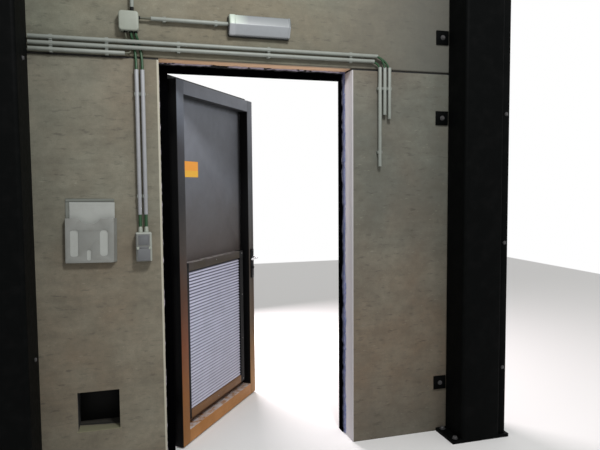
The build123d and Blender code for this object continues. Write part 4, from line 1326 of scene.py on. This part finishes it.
def growBolts():  # a washer and a crowned head on each point
    growth = Growth("bolts", {
        "Geometry": "Geometry", "Washer Radius": "Float", "Washer Depth": "Float",
        "Head Radius": "Float", "Head Depth": "Float", "Crown": "Float", "Sides": "Int",
        "Turn": "Vector", "Seed": "Int", "Material": "Material"})
    given = growth.given
    under, radius, top, sides = (given[label] for label in (
        "Washer Depth", "Head Radius", "Head Depth", "Sides"))
    shapes = [growth.lifted(growth.node("GeometryNodeMeshCylinder", {
        "Vertices": 24, "Radius": given["Washer Radius"], "Depth": under}), under * 0.5)]
    for upper, part, level in ((radius, 0.72, under),  # the head and its crown
                               (radius * given["Crown"], 0.28, under + top * 0.72)):
        cone = growth.node("GeometryNodeMeshCone", {
            "Vertices": sides, "Radius Top": upper, "Radius Bottom": radius, "Depth": top * part})
        shapes.append(growth.lifted(cone, level))
    whole = growth.node("GeometryNodeJoinGeometry")
    for shape in shapes:
        growth.feed(whole.socket.node.inputs[0], shape)
    bolts = growth.node("GeometryNodeInstanceOnPoints", {
        "Points": given["Geometry"], "Instance": whole, "Rotation": given["Turn"]})
    spin = growth.node("CombineXYZ", {"Z": growth.strayed(0.0, math.pi)})
    growth.finish(growth.node("GeometryNodeRotateInstances", {
        "Instances": bolts, "Rotation": spin, "Local Space": True}))
    return growth


boltGrowth = growBolts()
quarter = math.pi / 2
facing = {  # turns a bolt's axis from upwards to each side
    "up": (0, 0, 0),
    "room": (quarter, 0, 0),
    "outdoors": (-quarter, 0, 0),
    "right": (0, quarter, 0),
    "leafRoom": (quarter, 0, leafTurn),
    "leafOutdoors": (-quarter, 0, leafTurn),
}
boltSizes = {  # of a kind: washer radius and depth, head radius and depth, sides
    "anchor": (0.017, 0.003, 0.0135, 0.011, 6),
    "lug": (0.014, 0.0025, 0.0105, 0.007, 6),
    "column": (0.011, 0.002, 0.009, 0.006, 6),
    "louvre": (0.0035, 0.0006, 0.0030, 0.0016, 12),
    "small": (0.0028, 0.0005, 0.0022, 0.0012, 12),
    "cover": (0.006, 0.0012, 0.0048, 0.003, 6),
    "anchorInset": 0.030,
    "lugLevels": (0.300, 1.883, 2.346, 2.800),
    "columnSpots": ((0.028, 0.677), (0.001, 2.081), (0.020, 2.74)),  # y and z on its inner side
    "stripInset": 0.020,
    "stripLevels": (0.42, 1.155, 1.8935, 2.62),
    "coverInset": 0.015,
    "louvreInset": 0.018,
    "plateInset": 0.012,
    "plateDepth": 0.008,
}


def addBolts(name, groups, finishName, body):
    meshes = []
    for number, (side, spots, kind) in enumerate(groups):
        washer, washerDepth, head, headDepth, sides = boltSizes[kind]
        meshes.append(grown(name, spots, boltGrowth, {
            "Washer Radius": washer, "Washer Depth": washerDepth, "Head Radius": head,
            "Head Depth": headDepth, "Sides": sides, "Crown": 0.88 if sides == 6 else 0.6,
            "Turn": facing[side], "Seed": number + 3, "Material": finishes[finishName]}))
    addPiece(name, meshes, finishName, body=body)


def makeBolts(sizes):
    wall = []
    for plate in ("left_base_plate", "right_base_plate"):
        low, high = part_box(plate)
        wall.append(("up", [(x, y, high.z) for x in inFrom(low.x, high.x, sizes["anchorInset"])
                            for y in inFrom(low.y, high.y, sizes["anchorInset"])], "anchor"))
    across, face = middleOf("panel_lugs", 0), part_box("panel_lugs")[0].y
    wall.append(("room", [(across, face, level) for level in sizes["lugLevels"]], "lug"))
    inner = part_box("left_column")[1].x
    wall.append(("right", [(inner, y, z) for y, z in sizes["columnSpots"]], "column"))
    low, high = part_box("right_corner_strip")
    wall.append(("room", [(high.x - sizes["stripInset"], low.y, level)
                          for level in sizes["stripLevels"]], "column"))
    low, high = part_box("cable_opening_cover")
    wall.append(("outdoors", [(x, high.y, z) for x in inFrom(low.x, high.x, sizes["coverInset"])
                              for z in inFrom(low.z, high.z, sizes["coverInset"])], "cover"))
    addBolts("wall_bolts", wall, "dull steel", "wall")

    low, high = leafBox("louvre_frame")
    left, right = inFrom(low.x, high.x, sizes["louvreInset"])
    third = (high.z - low.z) / 3
    spots = [(x, z) for x in (left, (low.x + high.x) / 2, right)
             for z in inFrom(low.z, high.z, sizes["louvreInset"])]
    spots += [(x, z) for z in inFrom(low.z, high.z, third) for x in (left, right)]
    groups = [("leafRoom", [leafPlace @ Vector((x, low.y, z)) for x, z in spots], "louvre")]
    for node, side in (("inner_handle_plate", "leafRoom"), ("outer_handle_plate", "leafOutdoors")):
        low, high = leafBox(node)
        middle, depth = (low.x + high.x) / 2, sizes["plateDepth"]
        face = low.y + depth if side == "leafRoom" else high.y - depth
        groups.append((side, [leafPlace @ Vector((middle, face, z))
                              for z in inFrom(low.z, high.z, sizes["plateInset"])], "small"))
    addBolts("leaf_screws", groups, "zinc plate", "door")


makeBolts(boltSizes)
print("bolts made")

# Louvre slats: one folded slat repeated up the vent, each a little out of line
slatSizes = {
    "run": 0.013,
    "sheet": 0.0015,
    "lip": 0.004,
    "fold": 0.002,
    "pitch": 0.019,
    "endGap": 0.0003,
    "tilt": 0.006,
    "seed": 5,
}


def growSlats():
    growth = Growth("slats", {
        "Geometry": "Geometry", "Slat": "Object", "Count": "Int", "Pitch": "Float",
        "Tilt": "Float", "Seed": "Int", "Material": "Material"})
    given = growth.given
    step = growth.node("CombineXYZ", {"Z": given["Pitch"]})
    row = growth.node("GeometryNodeMeshLine", {"Count": given["Count"], "Offset": step})
    slat = growth.node("GeometryNodeObjectInfo", {"Object": given["Slat"]}, "Geometry")
    lean = growth.strayed(given["Tilt"] * -1, given["Tilt"])
    growth.finish(growth.node("GeometryNodeInstanceOnPoints", {
        "Points": row, "Instance": slat, "Rotation": growth.node("CombineXYZ", {"X": lean})}))
    return growth


def makeSlats(sizes):
    low, high = leafBox("louvre_blades")
    run, sheet, lip, fold = (sizes[key] for key in ("run", "sheet", "lip", "fold"))
    skin = sheet * math.sqrt(2)
    middle = (low.y + high.y) / 2  # ridge of a slat; the room side is towards low
    corners = [(-run, -run, 0), (0, 0, 0), (run - sheet, -run + sheet, 0),
               (run - sheet, -run - lip, 0), (run, -run - lip, 0), (run, -run + skin, fold),
               (0, skin, fold), (-run, -run + skin, 0)]
    profile = roundedPath(corners, 3)
    rings = [[Vector((x, -inwards, up)) for inwards, up in profile]
             for x in inFrom(low.x, high.x, sizes["endGap"])]
    slat = linked("slat", ringMesh("slat", rings))
    count = round((high.z - low.z - run - lip - skin) / sizes["pitch"]) + 1
    mesh = grown("slats", [], growSlats(), {
        "Slat": slat, "Count": count, "Pitch": sizes["pitch"], "Tilt": sizes["tilt"],
        "Seed": sizes["seed"], "Material": finishes["slat paint"]})
    bpy.data.objects.remove(slat)
    mesh.transform(leafPlace @ Matrix.Translation((0, middle, low.z + lip + run)))
    addPiece("louvre_slats", mesh, "slat paint", ["louvre_blades"], "door", 30)


makeSlats(slatSizes)
print("slats made")
